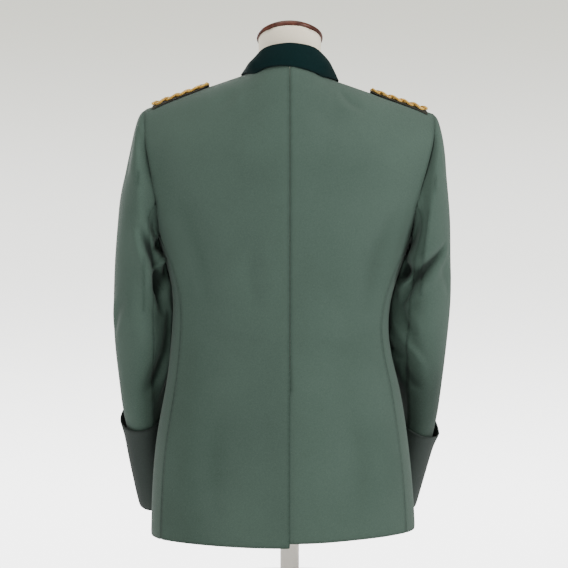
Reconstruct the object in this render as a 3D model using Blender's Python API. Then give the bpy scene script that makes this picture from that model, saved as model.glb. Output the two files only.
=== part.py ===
# Field tunic on a limbless dress form.
# Metres, +Z up. The wearer faces -Y, so the back is at +Y and the wearer's left side is at +X.
# The origin is the centre of the underside of the base.

import math

import bmesh
import bpy
from mathutils import Vector

# Driving sizes
clothThickness = 0.0018
collarThickness = 0.0018
cuffThickness = 0.0022
sleeveClearance = 0.0018
cuffClearance = 0.0085
cuffClearanceStart = 10.6
cuffClearanceRun = 1.2
armholeFade = 3.0
seamGap = 0.0003
layGap = 0.0004
cornerShift = 0.0009
underarmLift = 0.0005
underarmHeight = 0.597
shoulderHalfWidth = 0.232
neckHalfWidth = 0.075
neckMiddleY = 0.020
neckBackReach = 0.065
neckFrontReach = 0.095
shoulderPointHeight = 0.798
neckPointHeight = 0.848
shoulderLean = 0.006
leanReach = 0.050
leanFade = 0.35
sideLineFall = 0.16
sideLineStart = 0.60
sideLineRun = 0.20
neckCrown = 0.0348
shoulderRounding = 0.060
sectionPower = 2.3
ventTop = 0.345
ventUnderlap = 0.035
foldHalfWidth = 0.0625
foldBackReach = 0.0625
foldFrontReach = 0.088
foldRadius = 0.0021
standInset = 0.0004
standLift = 0.0008
standFrontLift = 0.0003
fallPower = 1.3
fallBelly = 0.0012
fallLift = 0.0010
fallEdgeLift = 0.0008
fallHalfWidth = 0.0775
fallBackReach = 0.0715
fallFrontReach = 0.115
collarEndTurn = 172
frontOverlap = 0.018
frontStepWidth = 0.0008
frontStepReach = 0.024
frontLiftStart = 0.70
frontButtonDiameter = 0.021
frontButtonCount = 6
topButtonHeight = 0.735
lowButtonHeight = 0.325
boardInnerX = 0.128
boardOuterX = 0.221
boardHalfWidth = 0.024
boardThickness = 0.0036
boardLift = 0.0006
boardRelief = 0.0007
boardCrossings = 6
boardColumns = 14
boardRows = 6
boardButtonShare = 0.14
boardButtonDiameter = 0.016
neckRadius = 0.0508
neckTopHeight = 0.9105
neckTopY = 0.012
neckTilt = math.radians(17.6)
formBottomHeight = 0.135
formTopInset = 0.0026
formInsetGrowth = 0.0075
formInsetRun = 0.030
formDrawIn = 0.004
formArmDip = 0.0036
baseRadius = 0.160
baseHeight = 0.020
poleRadius = 0.015

# Colours, as linear red, green, blue
fieldGrey = (0.100, 0.145, 0.118)
collarGreen = (0.006, 0.024, 0.024)
cordGold = (0.62, 0.42, 0.12)
buttonMetal = (0.24, 0.25, 0.24)
formIvory = (0.74, 0.68, 0.58)
capWood = (0.115, 0.046, 0.030)
standWood = (0.090, 0.040, 0.026)
poleWhite = (0.80, 0.80, 0.77)


def table(names, rows):
    columns = names.split()
    return [dict(zip(columns, row)) for row in rows]


# Sections of the body: half-widths to the wearer's left and right, depths behind and before the side line
bodySections = table("height left right back front", (
    (0.110, 0.2250, 0.2035, 0.1385, 0.1520),
    (0.190, 0.2232, 0.1998, 0.1355, 0.1500),
    (0.275, 0.2160, 0.1905, 0.1300, 0.1470),
    (0.355, 0.2008, 0.1785, 0.1185, 0.1420),
    (0.430, 0.1925, 0.1590, 0.1080, 0.1345),
    (0.495, 0.1870, 0.1625, 0.1060, 0.1320),
    (0.545, 0.1965, 0.1790, 0.1170, 0.1390),
    (0.597, 0.2125, 0.1975, 0.1290, 0.1430),
    (0.650, 0.2330, 0.2180, 0.1320, 0.1440),
    (0.720, 0.2520, 0.2460, 0.1240, 0.1330),
    (0.790, 0.2550, 0.2550, 0.1075, 0.1060),
    (0.900, 0.2550, 0.2550, 0.1040, 0.0950),
))

# Where the armhole edge of a back or front lies, and the seam to the side panel below it
armholeEdge = table("height left right", (
    (0.597, 0.2083, 0.1935),
    (0.625, 0.2095, 0.1950),
    (0.660, 0.2115, 0.2030),
    (0.700, 0.2200, 0.2145),
    (0.740, 0.2280, 0.2280),
    (0.780, 0.2315, 0.2310),
    (0.810, 0.2320, 0.2320),
))
sideSeam = table("height share", (
    (0.110, 0.900),
    (0.430, 0.900),
    (0.545, 0.935),
    (0.597, 0.980),
))

# Hem heights from the centre back to the side, where the right half hangs a little shorter
hemBase = 0.118
hemHeights = {1: (0.1175, 0.1205), -1: (0.1245, 0.1310)}

# Sections of each sleeve: its outer and inner edges, its middle, half-depth and forward pitch
leftSleeve = table("station outerX outerZ innerX innerZ middleY halfDepth pitch", (
    (0, 0.2320, 0.8020, 0.2125, 0.5970, 0.000, 0.0680, 0.00),
    (1, 0.2425, 0.7935, 0.2155, 0.5900, 0.000, 0.0700, 0.00),
    (2, 0.2495, 0.7670, 0.2150, 0.5810, -0.001, 0.0730, 0.00),
    (3, 0.2555, 0.7350, 0.2110, 0.5690, -0.001, 0.0750, 0.00),
    (4, 0.2625, 0.7030, 0.2045, 0.5550, -0.002, 0.0760, 0.00),
    (5, 0.2730, 0.6600, 0.1955, 0.5340, -0.003, 0.0755, 0.02),
    (6, 0.2785, 0.6100, 0.1890, 0.5120, -0.005, 0.0730, 0.04),
    (7, 0.2815, 0.5600, 0.1880, 0.4880, -0.009, 0.0700, 0.08),
    (8, 0.2845, 0.5100, 0.1895, 0.4610, -0.015, 0.0670, 0.12),
    (9, 0.2860, 0.4650, 0.1910, 0.4340, -0.024, 0.0650, 0.17),
    (10, 0.2848, 0.4150, 0.1930, 0.4020, -0.038, 0.0630, 0.22),
    (11, 0.2805, 0.3620, 0.1985, 0.3600, -0.055, 0.0610, 0.26),
    (12, 0.2755, 0.3140, 0.2030, 0.3180, -0.073, 0.0580, 0.30),
    (13, 0.2665, 0.2690, 0.2015, 0.2760, -0.092, 0.0565, 0.32),
    (14, 0.2625, 0.2230, 0.1985, 0.2340, -0.112, 0.0555, 0.34),
    (15, 0.2562, 0.1780, 0.1935, 0.1900, -0.132, 0.0550, 0.35),
    (16, 0.2530, 0.1550, 0.1905, 0.1680, -0.142, 0.0550, 0.35),
))
rightSleeve = table("station outerX outerZ innerX innerZ middleY halfDepth pitch", (
    (0, 0.2320, 0.7940, 0.1975, 0.5970, 0.000, 0.0680, 0.00),
    (1, 0.2400, 0.7855, 0.2005, 0.5900, 0.000, 0.0700, 0.00),
    (2, 0.2455, 0.7580, 0.1980, 0.5800, -0.001, 0.0740, 0.00),
    (3, 0.2495, 0.7220, 0.1930, 0.5670, -0.002, 0.0760, 0.00),
    (4, 0.2530, 0.6850, 0.1860, 0.5520, -0.003, 0.0760, 0.00),
    (5, 0.2570, 0.6400, 0.1765, 0.5340, -0.004, 0.0750, 0.02),
    (6, 0.2595, 0.5950, 0.1690, 0.5140, -0.006, 0.0720, 0.05),
    (7, 0.2605, 0.5500, 0.1645, 0.4920, -0.010, 0.0690, 0.10),
    (8, 0.2608, 0.5050, 0.1630, 0.4650, -0.016, 0.0670, 0.15),
    (9, 0.2590, 0.4640, 0.1625, 0.4380, -0.026, 0.0650, 0.20),
    (10, 0.2555, 0.4150, 0.1645, 0.4050, -0.042, 0.0630, 0.25),
    (11, 0.2512, 0.3640, 0.1710, 0.3620, -0.062, 0.0610, 0.29),
    (12, 0.2480, 0.3140, 0.1790, 0.3190, -0.084, 0.0580, 0.33),
    (13, 0.2405, 0.2690, 0.1780, 0.2780, -0.107, 0.0565, 0.35),
    (14, 0.2300, 0.2230, 0.1700, 0.2350, -0.129, 0.0560, 0.36),
    (15, 0.2200, 0.1780, 0.1615, 0.1920, -0.151, 0.0560, 0.36),
    (16, 0.2155, 0.1520, 0.1575, 0.1670, -0.161, 0.0560, 0.36),
))
sleeves = {1: leftSleeve, -1: rightSleeve}

# Large sleeve folds. Station runs down the sleeve, turn is in degrees from the outer edge round by
# the back, lean is how far the fold turns for each station that it runs down, depth is outward.
leftFolds = table("station turn lean depth longReach turnReach", (
    (7.0, 136, 3, -0.0240, 1.7, 26),
    (10.2, 150, -8, 0.0075, 1.5, 14),
    (10.6, 118, -8, -0.0060, 1.3, 13),
    (8.6, 78, -6, 0.0030, 1.0, 22),
    (3.4, 104, 4, -0.0035, 1.4, 15),
    (9.0, -95, 6, 0.0045, 0.9, 30),
    (8.0, -120, 4, -0.0060, 0.8, 30),
))
rightFolds = table("station turn lean depth longReach turnReach", (
    (6.8, 138, 4, -0.0230, 1.6, 25),
    (9.4, 152, -6, 0.0065, 1.4, 14),
    (9.9, 120, -9, -0.0055, 1.2, 14),
    (7.6, 92, -10, -0.0040, 0.9, 14),
    (3.0, 108, 5, -0.0030, 1.3, 15),
    (8.7, -98, 6, 0.0045, 0.9, 30),
    (7.7, -122, 4, -0.0060, 0.8, 30),
))
sleeveFolds = {1: leftFolds, -1: rightFolds}

# Stations of the sleeve's rows, and rows of the cuff: its top edge, one halfway to the next, then the
# sleeve's own
sleeveStations = (0, 0.7, 1.4, 2.1, 3, 4, 5, 5.8, 6.5, 7.2, 8, 8.8, 9.6, 10.4, 11.2, 12, 13, 14, 15, 16)
cuffRows = (0, 1, 13, 14, 15, 16)

# Station of each cuff's highest edge, how far the edge slants, and how far it stands off the sleeve
cuffTops = {1: 12.0, -1: 12.25}
cuffTopSlant = 0.40
cuffTopTurn = math.radians(55)
cuffStandTurn = math.radians(8)
cuffStandOff = {1: 0.0042, -1: 0.0018}
cuffLift = 0.0012

# Columns beside the right back's seam, above the vent, at its top and along it: where each lies
# across, and which of them are sunk under the left back
ventColumns = table("edge bend flat sunk", (
    (0.0, -0.0026, -0.0055, ()),
    (-0.0006, -0.0022, -0.0052, ("edge", "bend")),
    (ventUnderlap, -0.0008, -0.0048, ("edge", "bend")),
))

# Collar by angle from the centre back: the height of its fold
collarSections = table("angle foldHeight", (
    (0, 0.8960),
    (30, 0.8925),
    (47, 0.8870),
    (62, 0.8770),
    (74, 0.8710),
    (90, 0.8660),
    (120, 0.8570),
    (150, 0.8390),
    (180, 0.8250),
))

# Rings of the form's neck: the share of the way in to its round top, and of the way up
neckLevels = table("share rise", (
    (0.60, 0.04),
    (0.84, 0.14),
    (0.95, 0.32),
    (1.00, 0.60),
    (1.00, 1.00),
))

# Turned pieces: radius and height above their flat undersides
baseProfile = table("radius height", (
    (baseRadius - 0.002, 0.0),
    (baseRadius, 0.003),
    (baseRadius, 0.012),
    (baseRadius - 0.010, 0.018),
    (baseRadius - 0.020, baseHeight),
))
poleProfile = table("radius height", (
    (poleRadius, 0.0),
    (poleRadius, formBottomHeight - baseHeight - 2 * seamGap),
))
capProfile = table("radius height", (
    (0.0523, 0.0000),
    (0.0530, 0.0030),
    (0.0518, 0.0065),
    (0.0435, 0.0125),
    (0.0300, 0.0180),
    (0.0100, 0.0218),
    (0.0088, 0.0240),
    (0.0086, 0.0280),
    (0.0072, 0.0296),
))

# Shares of the half panel at which its columns stand: round the neckline by turns, then to the armhole
neckShare = neckHalfWidth / shoulderHalfWidth
neckTurns = (0, 20, 38, 55, 72, 90)
neckShares = tuple(neckShare * math.sin(math.radians(turn)) for turn in neckTurns)
columnShares = neckShares + (0.45, 0.58, 0.72, 0.86, 1.0)
lowSteps = 10
highSteps = 8
sideColumns = 4


def along(rows, key, place, column):
    """Smooth reading of one column of a table at a place between its rows."""
    places = [row[key] for row in rows]
    values = [row[column] for row in rows]
    place = min(max(place, places[0]), places[-1])
    at = 0
    while at < len(places) - 2 and place > places[at + 1]:
        at += 1
    span = places[at + 1] - places[at]
    share = (place - places[at]) / span

    def slope(index):
        low = max(index - 1, 0)
        high = min(index + 1, len(places) - 1)
        return (values[high] - values[low]) / (places[high] - places[low])

    square = share * share
    cube = square * share
    return ((2 * cube - 3 * square + 1) * values[at]
            + (cube - 2 * square + share) * slope(at) * span
            + (3 * square - 2 * cube) * values[at + 1]
            + (cube - square) * slope(at + 1) * span)


def ease(value):
    value = min(max(value, 0.0), 1.0)
    return value * value * (3 - 2 * value)


# The body's surface. A side is 1 for the wearer's left and -1 for the right, a face is 1 for the back
# and -1 for the front, and across is the distance from the middle plane.

def ridgeHeight(side, across):
    slope = (neckPointHeight - shoulderPointHeight) / (shoulderHalfWidth - neckHalfWidth)
    height = neckPointHeight - slope * (across - neckHalfWidth)
    if across < neckHalfWidth:
        share = across / neckHalfWidth
        height = neckPointHeight + slope * neckHalfWidth * 0.5 * (1 - share * share)
        height += neckCrown * (1 - share * share) ** 2
    lean = math.tanh(across / leanReach) * (1 - leanFade * across / shoulderHalfWidth)
    return height + shoulderLean * side * lean


def middleY(across, height):
    fall = neckMiddleY - sideLineFall * max(across - neckHalfWidth, 0.0)
    return fall * ease((height - sideLineStart) / sideLineRun)


def halfWidth(side, height):
    return along(bodySections, "height", height, "left" if side > 0 else "right")


def depth(face, height):
    return along(bodySections, "height", height, "back" if face > 0 else "front")


def formInset(drop):
    """How far the dress form lies inside the cloth's outer surface, by the drop below the shoulder ridge."""
    return formTopInset + formInsetGrowth * (1 - math.exp(-max(drop, 0.0) / formInsetRun))


def bodyY(side, face, across, height, inset=0.0):
    wide = halfWidth(side, height) - inset
    share = min(across / wide, 1.0) ** sectionPower
    drop = max(ridgeHeight(side, across) - min(inset, formInset(0)) - height, 0.0)
    reach = (1 - share) ** (1 / sectionPower) * math.sqrt(1 - math.exp(-drop / shoulderRounding))
    return middleY(across, height) + face * (depth(face, height) - inset) * reach


def bodyPoint(side, face, across, height, inset=0.0):
    return Vector((side * across, bodyY(side, face, across, height, inset), height))


def bodyHeight(side, face, across, y):
    """Height of the shoulder surface above a point of the plan, found by halving."""
    high = ridgeHeight(side, across)
    low = underarmHeight
    for _ in range(40):
        height = (low + high) / 2
        if (bodyY(side, face, across, height) - y) * face > 0:
            low = height
        else:
            high = height
    return low


def bodyField(side, face, x, y, z):
    """A value that is nothing on the surface, below nothing inside it and above nothing outside."""
    across = abs(x)
    wide = halfWidth(side, z)
    offset = abs(y - middleY(across, z))
    drop = ridgeHeight(side, across) - z
    if across / wide < 0.9 or z > underarmHeight:
        section = max(1 - (across / wide) ** sectionPower, 1e-6) ** (1 / sectionPower)
        return (offset / (depth(face, z) * section)) ** 2 + math.exp(-drop / shoulderRounding) - 1
    rounding = math.sqrt(1 - math.exp(-drop / shoulderRounding))
    reach = depth(face, z) * rounding
    return (across / wide) ** sectionPower + (offset / reach) ** sectionPower - 1


def bodyNormal(side, face, point):
    step = 1e-5
    normal = Vector()
    for axis in range(3):
        ahead = point.copy()
        behind = point.copy()
        ahead[axis] += step
        behind[axis] -= step
        normal[axis] = bodyField(side, face, *ahead) - bodyField(side, face, *behind)
    return normal.normalized()


def neckY(face, across):
    reach = neckBackReach if face > 0 else neckFrontReach
    return neckMiddleY + face * reach * math.sqrt(max(1 - (across / neckHalfWidth) ** 2, 0.0))


def hemHeight(side, share):
    centre, edge = hemHeights[side]
    return centre + (edge - centre) * ease(share)


def seamAcross(side, height):
    return halfWidth(side, height) * along(sideSeam, "height", height, "share")


def armholeAcross(side, height):
    return along(armholeEdge, "height", height, "left" if side > 0 else "right")


def lowHeight(side, share, row):
    """Height of a row below the underarm. Only the lowest row follows the hem."""
    if row == 0:
        return hemHeight(side, share)
    return hemBase + (underarmHeight - hemBase) * row / lowSteps


def highPoint(side, face, share, row):
    """Point of a back or front above the underarm, where the rows close up towards the shoulder."""
    rise = 1 - (1 - row / highSteps) ** 2
    edgeTop = ridgeHeight(side, shoulderHalfWidth)
    across = share * armholeAcross(side, underarmHeight + (edgeTop - underarmHeight) * rise)
    topAcross = share * shoulderHalfWidth
    if topAcross < neckHalfWidth - 1e-6:
        top = bodyHeight(side, face, topAcross, neckY(face, topAcross))
    else:
        top = ridgeHeight(side, topAcross)
    if row == highSteps:
        if topAcross < neckHalfWidth - 1e-6:
            return Vector((side * topAcross, neckY(face, topAcross), top))
        return Vector((side * topAcross, middleY(topAcross, top) + face * 1e-5, top))
    return bodyPoint(side, face, across, underarmHeight + (top - underarmHeight) * rise)


def halfPanel(side, face):
    """Outer points of half the back or front, as rows from the hem up, and their normals."""
    rows = []
    for row in range(lowSteps):
        line = []
        for share in columnShares:
            height = lowHeight(side, share, row)
            line.append(bodyPoint(side, face, share * seamAcross(side, height), height))
        rows.append(line)
    for row in range(highSteps + 1):
        rows.append([highPoint(side, face, share, row) for share in columnShares])
    normals = [[bodyNormal(side, face, point) for point in line] for line in rows]
    return rows, normals


def sidePoint(side, height, share):
    """Point of the side panel: share runs from its back seam, 0, round to its front seam, 1."""
    wide = halfWidth(side, height)
    corner = math.acos(along(sideSeam, "height", height, "share") ** (sectionPower / 2))
    turn = corner * (1 - 2 * share)
    face = 1 if turn >= 0 else -1
    across = wide * math.cos(turn) ** (2 / sectionPower)
    return bodyPoint(side, face, across, height), face


def sidePanel(side):
    rows = []
    normals = []
    for row in range(lowSteps + 1):
        height = lowHeight(side, 1.0, row)
        line = []
        facing = []
        for column in range(sideColumns + 1):
            point, face = sidePoint(side, height, column / sideColumns)
            line.append(point)
            facing.append(bodyNormal(side, face, point))
        rows.append(line)
        normals.append(facing)
    return rows, normals


# Walls

def movedAlong(rows, normals, distance):
    """A grid moved out along its normals."""
    return [
        [point + normal * distance for point, normal in zip(line, facing)]
        for line, facing in zip(rows, normals)
    ]


def drawnIn(rows, left=0.0, right=0.0, bottom=0.0, top=0.0):
    """The grid with its edges drawn in by the given distances, so that neighbours keep a gap."""
    grid = [[point.copy() for point in line] for line in rows]
    for line in grid:
        line[0] += (line[1] - line[0]).normalized() * left
        line[-1] += (line[-2] - line[-1]).normalized() * right
    for column in range(len(grid[0])):
        low = (grid[1][column] - grid[0][column]).normalized()
        high = (grid[-2][column] - grid[-1][column]).normalized()
        grid[0][column] += low * bottom
        grid[-1][column] += high * top
    return grid


def material(name, colour, roughness, metallic=0.0):
    made = bpy.data.materials.get(name)
    if made is None:
        made = bpy.data.materials.new(name)
        made.use_nodes = True
        shader = made.node_tree.nodes["Principled BSDF"]
        shader.inputs["Base Color"].default_value = (*colour, 1.0)
        shader.inputs["Roughness"].default_value = roughness
        shader.inputs["Metallic"].default_value = metallic
    return made


def place(name, shape, finish, smoothAngle=40):
    bmesh.ops.recalc_face_normals(shape, faces=shape.faces)
    if shape.calc_volume(signed=True) < 0:
        bmesh.ops.reverse_faces(shape, faces=shape.faces)
    mesh = bpy.data.meshes.new(name)
    shape.to_mesh(mesh)
    shape.free()
    mesh.shade_smooth()
    mesh.set_sharp_from_angle(angle=math.radians(smoothAngle))
    mesh.materials.append(finish)
    made = bpy.data.objects.new(name, mesh)
    bpy.context.scene.collection.objects.link(made)
    return made


def wall(name, outer, inner, finish, closedRound=False):
    """A closed wall between two grids of the same size."""
    shape = bmesh.new()
    out = [[shape.verts.new(point) for point in line] for line in outer]
    back = [[shape.verts.new(point) for point in line] for line in inner]
    rowCount = len(out)
    columnCount = len(out[0])
    spans = columnCount if closedRound else columnCount - 1
    for row in range(rowCount - 1):
        for column in range(spans):
            following = (column + 1) % columnCount
            shape.faces.new((out[row][column], out[row][following],
                             out[row + 1][following], out[row + 1][column]))
            shape.faces.new((back[row][column], back[row + 1][column],
                             back[row + 1][following], back[row][following]))
    for row in (0, rowCount - 1):
        for column in range(spans):
            following = (column + 1) % columnCount
            shape.faces.new((out[row][column], back[row][column],
                             back[row][following], out[row][following]))
    if not closedRound:
        for column in (0, columnCount - 1):
            for row in range(rowCount - 1):
                shape.faces.new((out[row][column], out[row + 1][column],
                                 back[row + 1][column], back[row][column]))
    return place(name, shape, finish)


def turned(name, profile, segments, centre, axis, finish):
    """A solid of revolution with a flat underside at the centre, from radius and height rows."""
    shape = bmesh.new()
    turn = Vector((0, 0, 1)).rotation_difference(axis)
    rings = []
    for row in profile:
        ring = []
        for step in range(segments):
            angle = 2 * math.pi * step / segments
            offset = Vector((row["radius"] * math.cos(angle), row["radius"] * math.sin(angle), row["height"]))
            ring.append(shape.verts.new(centre + turn @ offset))
        rings.append(ring)
    for low, high in zip(rings, rings[1:]):
        for step in range(segments):
            following = (step + 1) % segments
            shape.faces.new((low[step], low[following], high[following], high[step]))
    shape.faces.new(rings[0])
    shape.faces.new(rings[-1])
    return place(name, shape, finish)


# Body panels

def buildBacks(finish):
    for side, name in ((1, "back_left"), (-1, "back_right")):
        outer, normals = halfPanel(side, 1)
        inner = movedAlong(outer, normals, -clothThickness)
        if side < 0:
            outer, inner = withUnderlap(outer, inner)
        half = seamGap / 2
        wall(name,
             drawnIn(outer, left=half, right=half, top=half),
             drawnIn(inner, left=half, right=half, top=half),
             finish)


def withUnderlap(outer, inner):
    """The right back gets the vent's underlap: its seam column is replaced by three, of which the
    first runs under the left back below the vent's top."""
    sunk = clothThickness + layGap
    heights = [line[0].z for line in outer]
    start = min(range(len(heights)), key=lambda row: abs(heights[row] - ventTop))
    results = []
    for grid, lowered in ((outer, 0.0), (inner, clothThickness)):
        changed = []
        for row, line in enumerate(grid):
            level = ventColumns[0 if row > start else 1 if row == start else 2]
            added = []
            for key in ("edge", "bend", "flat"):
                x = level[key]
                sink = sunk if key in level["sunk"] else 0.0
                y = bodyY(-1 if x < 0 else 1, 1, abs(x), line[0].z) - lowered - sink
                added.append(Vector((x, y, line[0].z)))
            changed.append(added + line[1:])
        results.append(changed)
    return results


def buildFronts(finish):
    """Left front over right: each runs past the middle, the right one sunk under the left."""
    sunk = clothThickness + layGap
    half = seamGap / 2
    for side, name in ((1, "front_left"), (-1, "front_right")):
        outer, normals = halfPanel(side, -1)
        inner = movedAlong(outer, normals, -clothThickness)
        if side > 0:
            edges = ((-frontOverlap, 0.0), (0.0, 0.0), (frontOverlap, 0.0))
            kept = 1
        else:
            edges = ((frontOverlap, sunk), (0.0, sunk),
                     (-frontOverlap - frontStepWidth, sunk), (-frontStepReach, 0.0))
            kept = 2
        results = []
        for grid, lowered in ((outer, 0.0), (inner, clothThickness)):
            changed = []
            for line in grid:
                added = []
                for x, sink in edges:
                    height = line[0].z + frontTopLift(x, grid, line)
                    y = bodyY(-1 if x < 0 else 1, -1, abs(x), height) + lowered + sink
                    added.append(Vector((x, y, height)))
                changed.append(added + line[kept:])
            results.append(changed)
        wall(name,
             drawnIn(results[0], right=half, top=half),
             drawnIn(results[1], right=half, top=half),
             finish)


def frontTopLift(x, grid, line):
    """How much higher the neckline is at x than in the middle, faded out below the neck."""
    top = grid[-1][0].z
    rise = bodyHeight(1 if x > 0 else -1, -1, abs(x), neckY(-1, abs(x))) - top
    return rise * ease((line[0].z - frontLiftStart) / (top - frontLiftStart))


def buildSides(finish):
    for side, name in ((1, "side_left"), (-1, "side_right")):
        outer, normals = sidePanel(side)
        inner = movedAlong(outer, normals, -clothThickness)
        half = seamGap / 2
        wall(name,
             drawnIn(outer, left=half, right=half, top=half),
             drawnIn(inner, left=half, right=half, top=half),
             finish)


# Sleeves

def armholeLoop(side):
    """Outer points of the armhole's edge from the shoulder down the back and up the front.

    Each comes with its step to the sleeve's first ring, and with the way the wall's thickness goes."""
    loop = []
    leave = Vector((side, 0, 0))
    up = Vector((0, 0, 1))
    for face in (1, -1):
        rows = range(highSteps, 0, -1) if face > 0 else range(1, highSteps)
        part = []
        for row in rows:
            point = highPoint(side, face, 1.0, row)
            if row == highSteps:
                point.y = middleY(shoulderHalfWidth, point.z)
            part.append((point, leave * seamGap, -bodyNormal(side, face, point)))
        if face > 0:
            loop += part
            for column in range(sideColumns + 1):
                point, sideFace = sidePoint(side, underarmHeight, column / sideColumns)
                normal = bodyNormal(side, sideFace, point)
                way = (up + leave * 0.2 - Vector((0, normal.y, 0)) * 0.8).normalized()
                aside = cornerShift if column in (0, sideColumns) else layGap
                shift = leave * aside + up * underarmLift
                loop.append((point, shift, way))
        else:
            loop += part
    return loop


def sleeveFrame(side, station):
    rows = sleeves[side]
    read = {column: along(rows, "station", station, column) for column in rows[0]}
    outerEdge = Vector((side * read["outerX"], read["middleY"], read["outerZ"]))
    innerEdge = Vector((side * read["innerX"], read["middleY"], read["innerZ"]))
    toOuter = (outerEdge - innerEdge) / 2
    toBack = Vector((0, math.cos(read["pitch"]), -math.sin(read["pitch"]))) * read["halfDepth"]
    return (outerEdge + innerEdge) / 2, toOuter, toBack


def foldDepth(side, station, turn):
    """Outward move of the cloth by the large folds, at a turn in degrees from -180 to 180."""
    total = 0.0
    for fold in sleeveFolds[side]:
        down = (station - fold["station"]) / fold["longReach"]
        centre = fold["turn"] + fold["lean"] * (station - fold["station"])
        away = (turn - centre + 180) % 360 - 180
        aside = away / fold["turnReach"]
        total += fold["depth"] * math.exp(-down * down - aside * aside)
    return total


def rowHalfWidth(side, height):
    """Half-width of the body as built, on the straight lines between its rows."""
    spacing = (underarmHeight - hemBase) / lowSteps
    row = math.floor((height - hemBase) / spacing)
    low = hemBase + row * spacing
    share = (height - low) / spacing
    return halfWidth(side, low) * (1 - share) + halfWidth(side, low + spacing) * share


def clearOfBody(side, point, gap):
    """The point, moved sideways off the body where it lies closer than the gap."""
    if point.z > underarmHeight - 0.004:
        return point
    face = 1 if point.y >= 0 else -1
    share = min(abs(point.y) / depth(face, point.z), 1.0) ** sectionPower
    edge = rowHalfWidth(side, point.z) * (1 - share) ** (1 / sectionPower)
    short = edge + gap - side * point.x
    if short > 0:
        return point + Vector((side * short, 0, 0))
    return point


def sleeveLocal(side, loop):
    """Angle of each armhole point round the sleeve, and its offset from the first section's oval."""
    centre, toOuter, toBack = sleeveFrame(side, 0)
    outward = toOuter.normalized()
    backward = toBack.normalized()
    local = []
    for point, shift, way in loop:
        offset = point - centre
        angle = math.atan2(offset.dot(backward) / toBack.length, offset.dot(outward) / toOuter.length)
        oval = centre + toOuter * math.cos(angle) + toBack * math.sin(angle)
        rest = point - oval
        local.append((angle, rest.dot(outward), rest.dot(backward), rest.x * side))
    return local


def sleevePoint(side, station, entry):
    centre, toOuter, toBack = sleeveFrame(side, station)
    angle, restAlong, restAcross, restAway = entry
    outward = toOuter * math.cos(angle) + toBack * math.sin(angle)
    fade = 1 - ease(station / armholeFade)
    point = centre + outward
    point += toOuter.normalized() * restAlong * fade
    point += toBack.normalized() * restAcross * fade
    point += Vector((side, 0, 0)) * restAway * fade
    point += outward.normalized() * foldDepth(side, station, math.degrees(angle))
    gap = sleeveClearance + cuffClearance * ease((station - cuffClearanceStart) / cuffClearanceRun)
    return clearOfBody(side, point, gap)


def sleeveNormal(side, station, local, index):
    step = 0.04
    low = max(station - step, 0.0)
    high = min(station + step, 16.0)
    down = sleevePoint(side, high, local[index]) - sleevePoint(side, low, local[index])
    following = local[(index + 1) % len(local)]
    previous = local[index - 1]
    around = sleevePoint(side, station, following) - sleevePoint(side, station, previous)
    return down.cross(around).normalized() * side


def sleeveRings(side):
    loop = armholeLoop(side)
    local = sleeveLocal(side, loop)
    outer = [[point + shift for point, shift, way in loop]]
    inner = [[point + shift + way * clothThickness for point, shift, way in loop]]
    for station in sleeveStations[1:]:
        ring = [sleevePoint(side, station, entry) for entry in local]
        outer.append(ring)
        inner.append([
            point - sleeveNormal(side, station, local, index) * clothThickness
            for index, point in enumerate(ring)
        ])
    return outer, inner, local


def columnsOf(grid, indices):
    return [[line[index] for index in indices] for line in grid]


def buildSleeves(finish):
    half = seamGap / 2
    for side, word in ((1, "left"), (-1, "right")):
        outer, inner, local = sleeveRings(side)
        count = len(local)
        backSeam = highSteps - 1
        frontSeam = highSteps + sideColumns + 1
        under = list(range(backSeam, frontSeam + 1))
        upper = list(range(frontSeam, count)) + list(range(0, backSeam + 1))
        for name, indices in (("top_sleeve_" + word, upper), ("under_sleeve_" + word, under)):
            wall(name,
                 drawnIn(columnsOf(outer, indices), left=half, right=half),
                 drawnIn(columnsOf(inner, indices), left=half, right=half),
                 finish)
        buildCuff(side, word, local, finish)


def cuffTopStation(side, angle):
    """Where the cuff's top edge crosses the sleeve: lowest at the back of its outer edge."""
    return cuffTops[side] + cuffTopSlant * (0.5 + 0.5 * math.cos(angle - cuffTopTurn))


def cuffFlare(side, angle, rise):
    """How far the cuff stands off the sleeve: most at the top of its outer edge."""
    outerShare = max(math.cos(angle + cuffStandTurn), 0.0) ** 2
    return (cuffLift + cuffStandOff[side] * outerShare) * rise ** 1.5


def buildCuff(side, word, local, finish):
    outer = []
    inner = []
    for row in cuffRows:
        outerLine = []
        innerLine = []
        for index, entry in enumerate(local):
            top = cuffTopStation(side, entry[0])
            station = top if row == 0 else (top + cuffRows[2]) / 2 if row == 1 else row
            rise = (16 - station) / (16 - top)
            point = sleevePoint(side, station, entry)
            normal = sleeveNormal(side, station, local, index)
            stand = layGap + cuffLift * ease(rise * 5) + cuffFlare(side, entry[0], rise)
            innerLine.append(point + normal * stand)
            outerLine.append(point + normal * (stand + cuffThickness))
        outer.append(outerLine)
        inner.append(innerLine)
    wall("cuff_" + word, outer, inner, finish, closedRound=True)


# Collar

def ringPoint(angle, half, back, front):
    reach = back if math.cos(angle) > 0 else front
    return Vector((half * math.sin(angle), neckMiddleY + reach * math.cos(angle), 0))


def surfaceAt(x, y):
    side = 1 if x >= 0 else -1
    height = ridgeHeight(side, abs(x))
    face = 1 if y >= middleY(abs(x), height) else -1
    point = Vector((x, y, bodyHeight(side, face, abs(x), y)))
    return point, bodyNormal(side, face, point)


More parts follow.
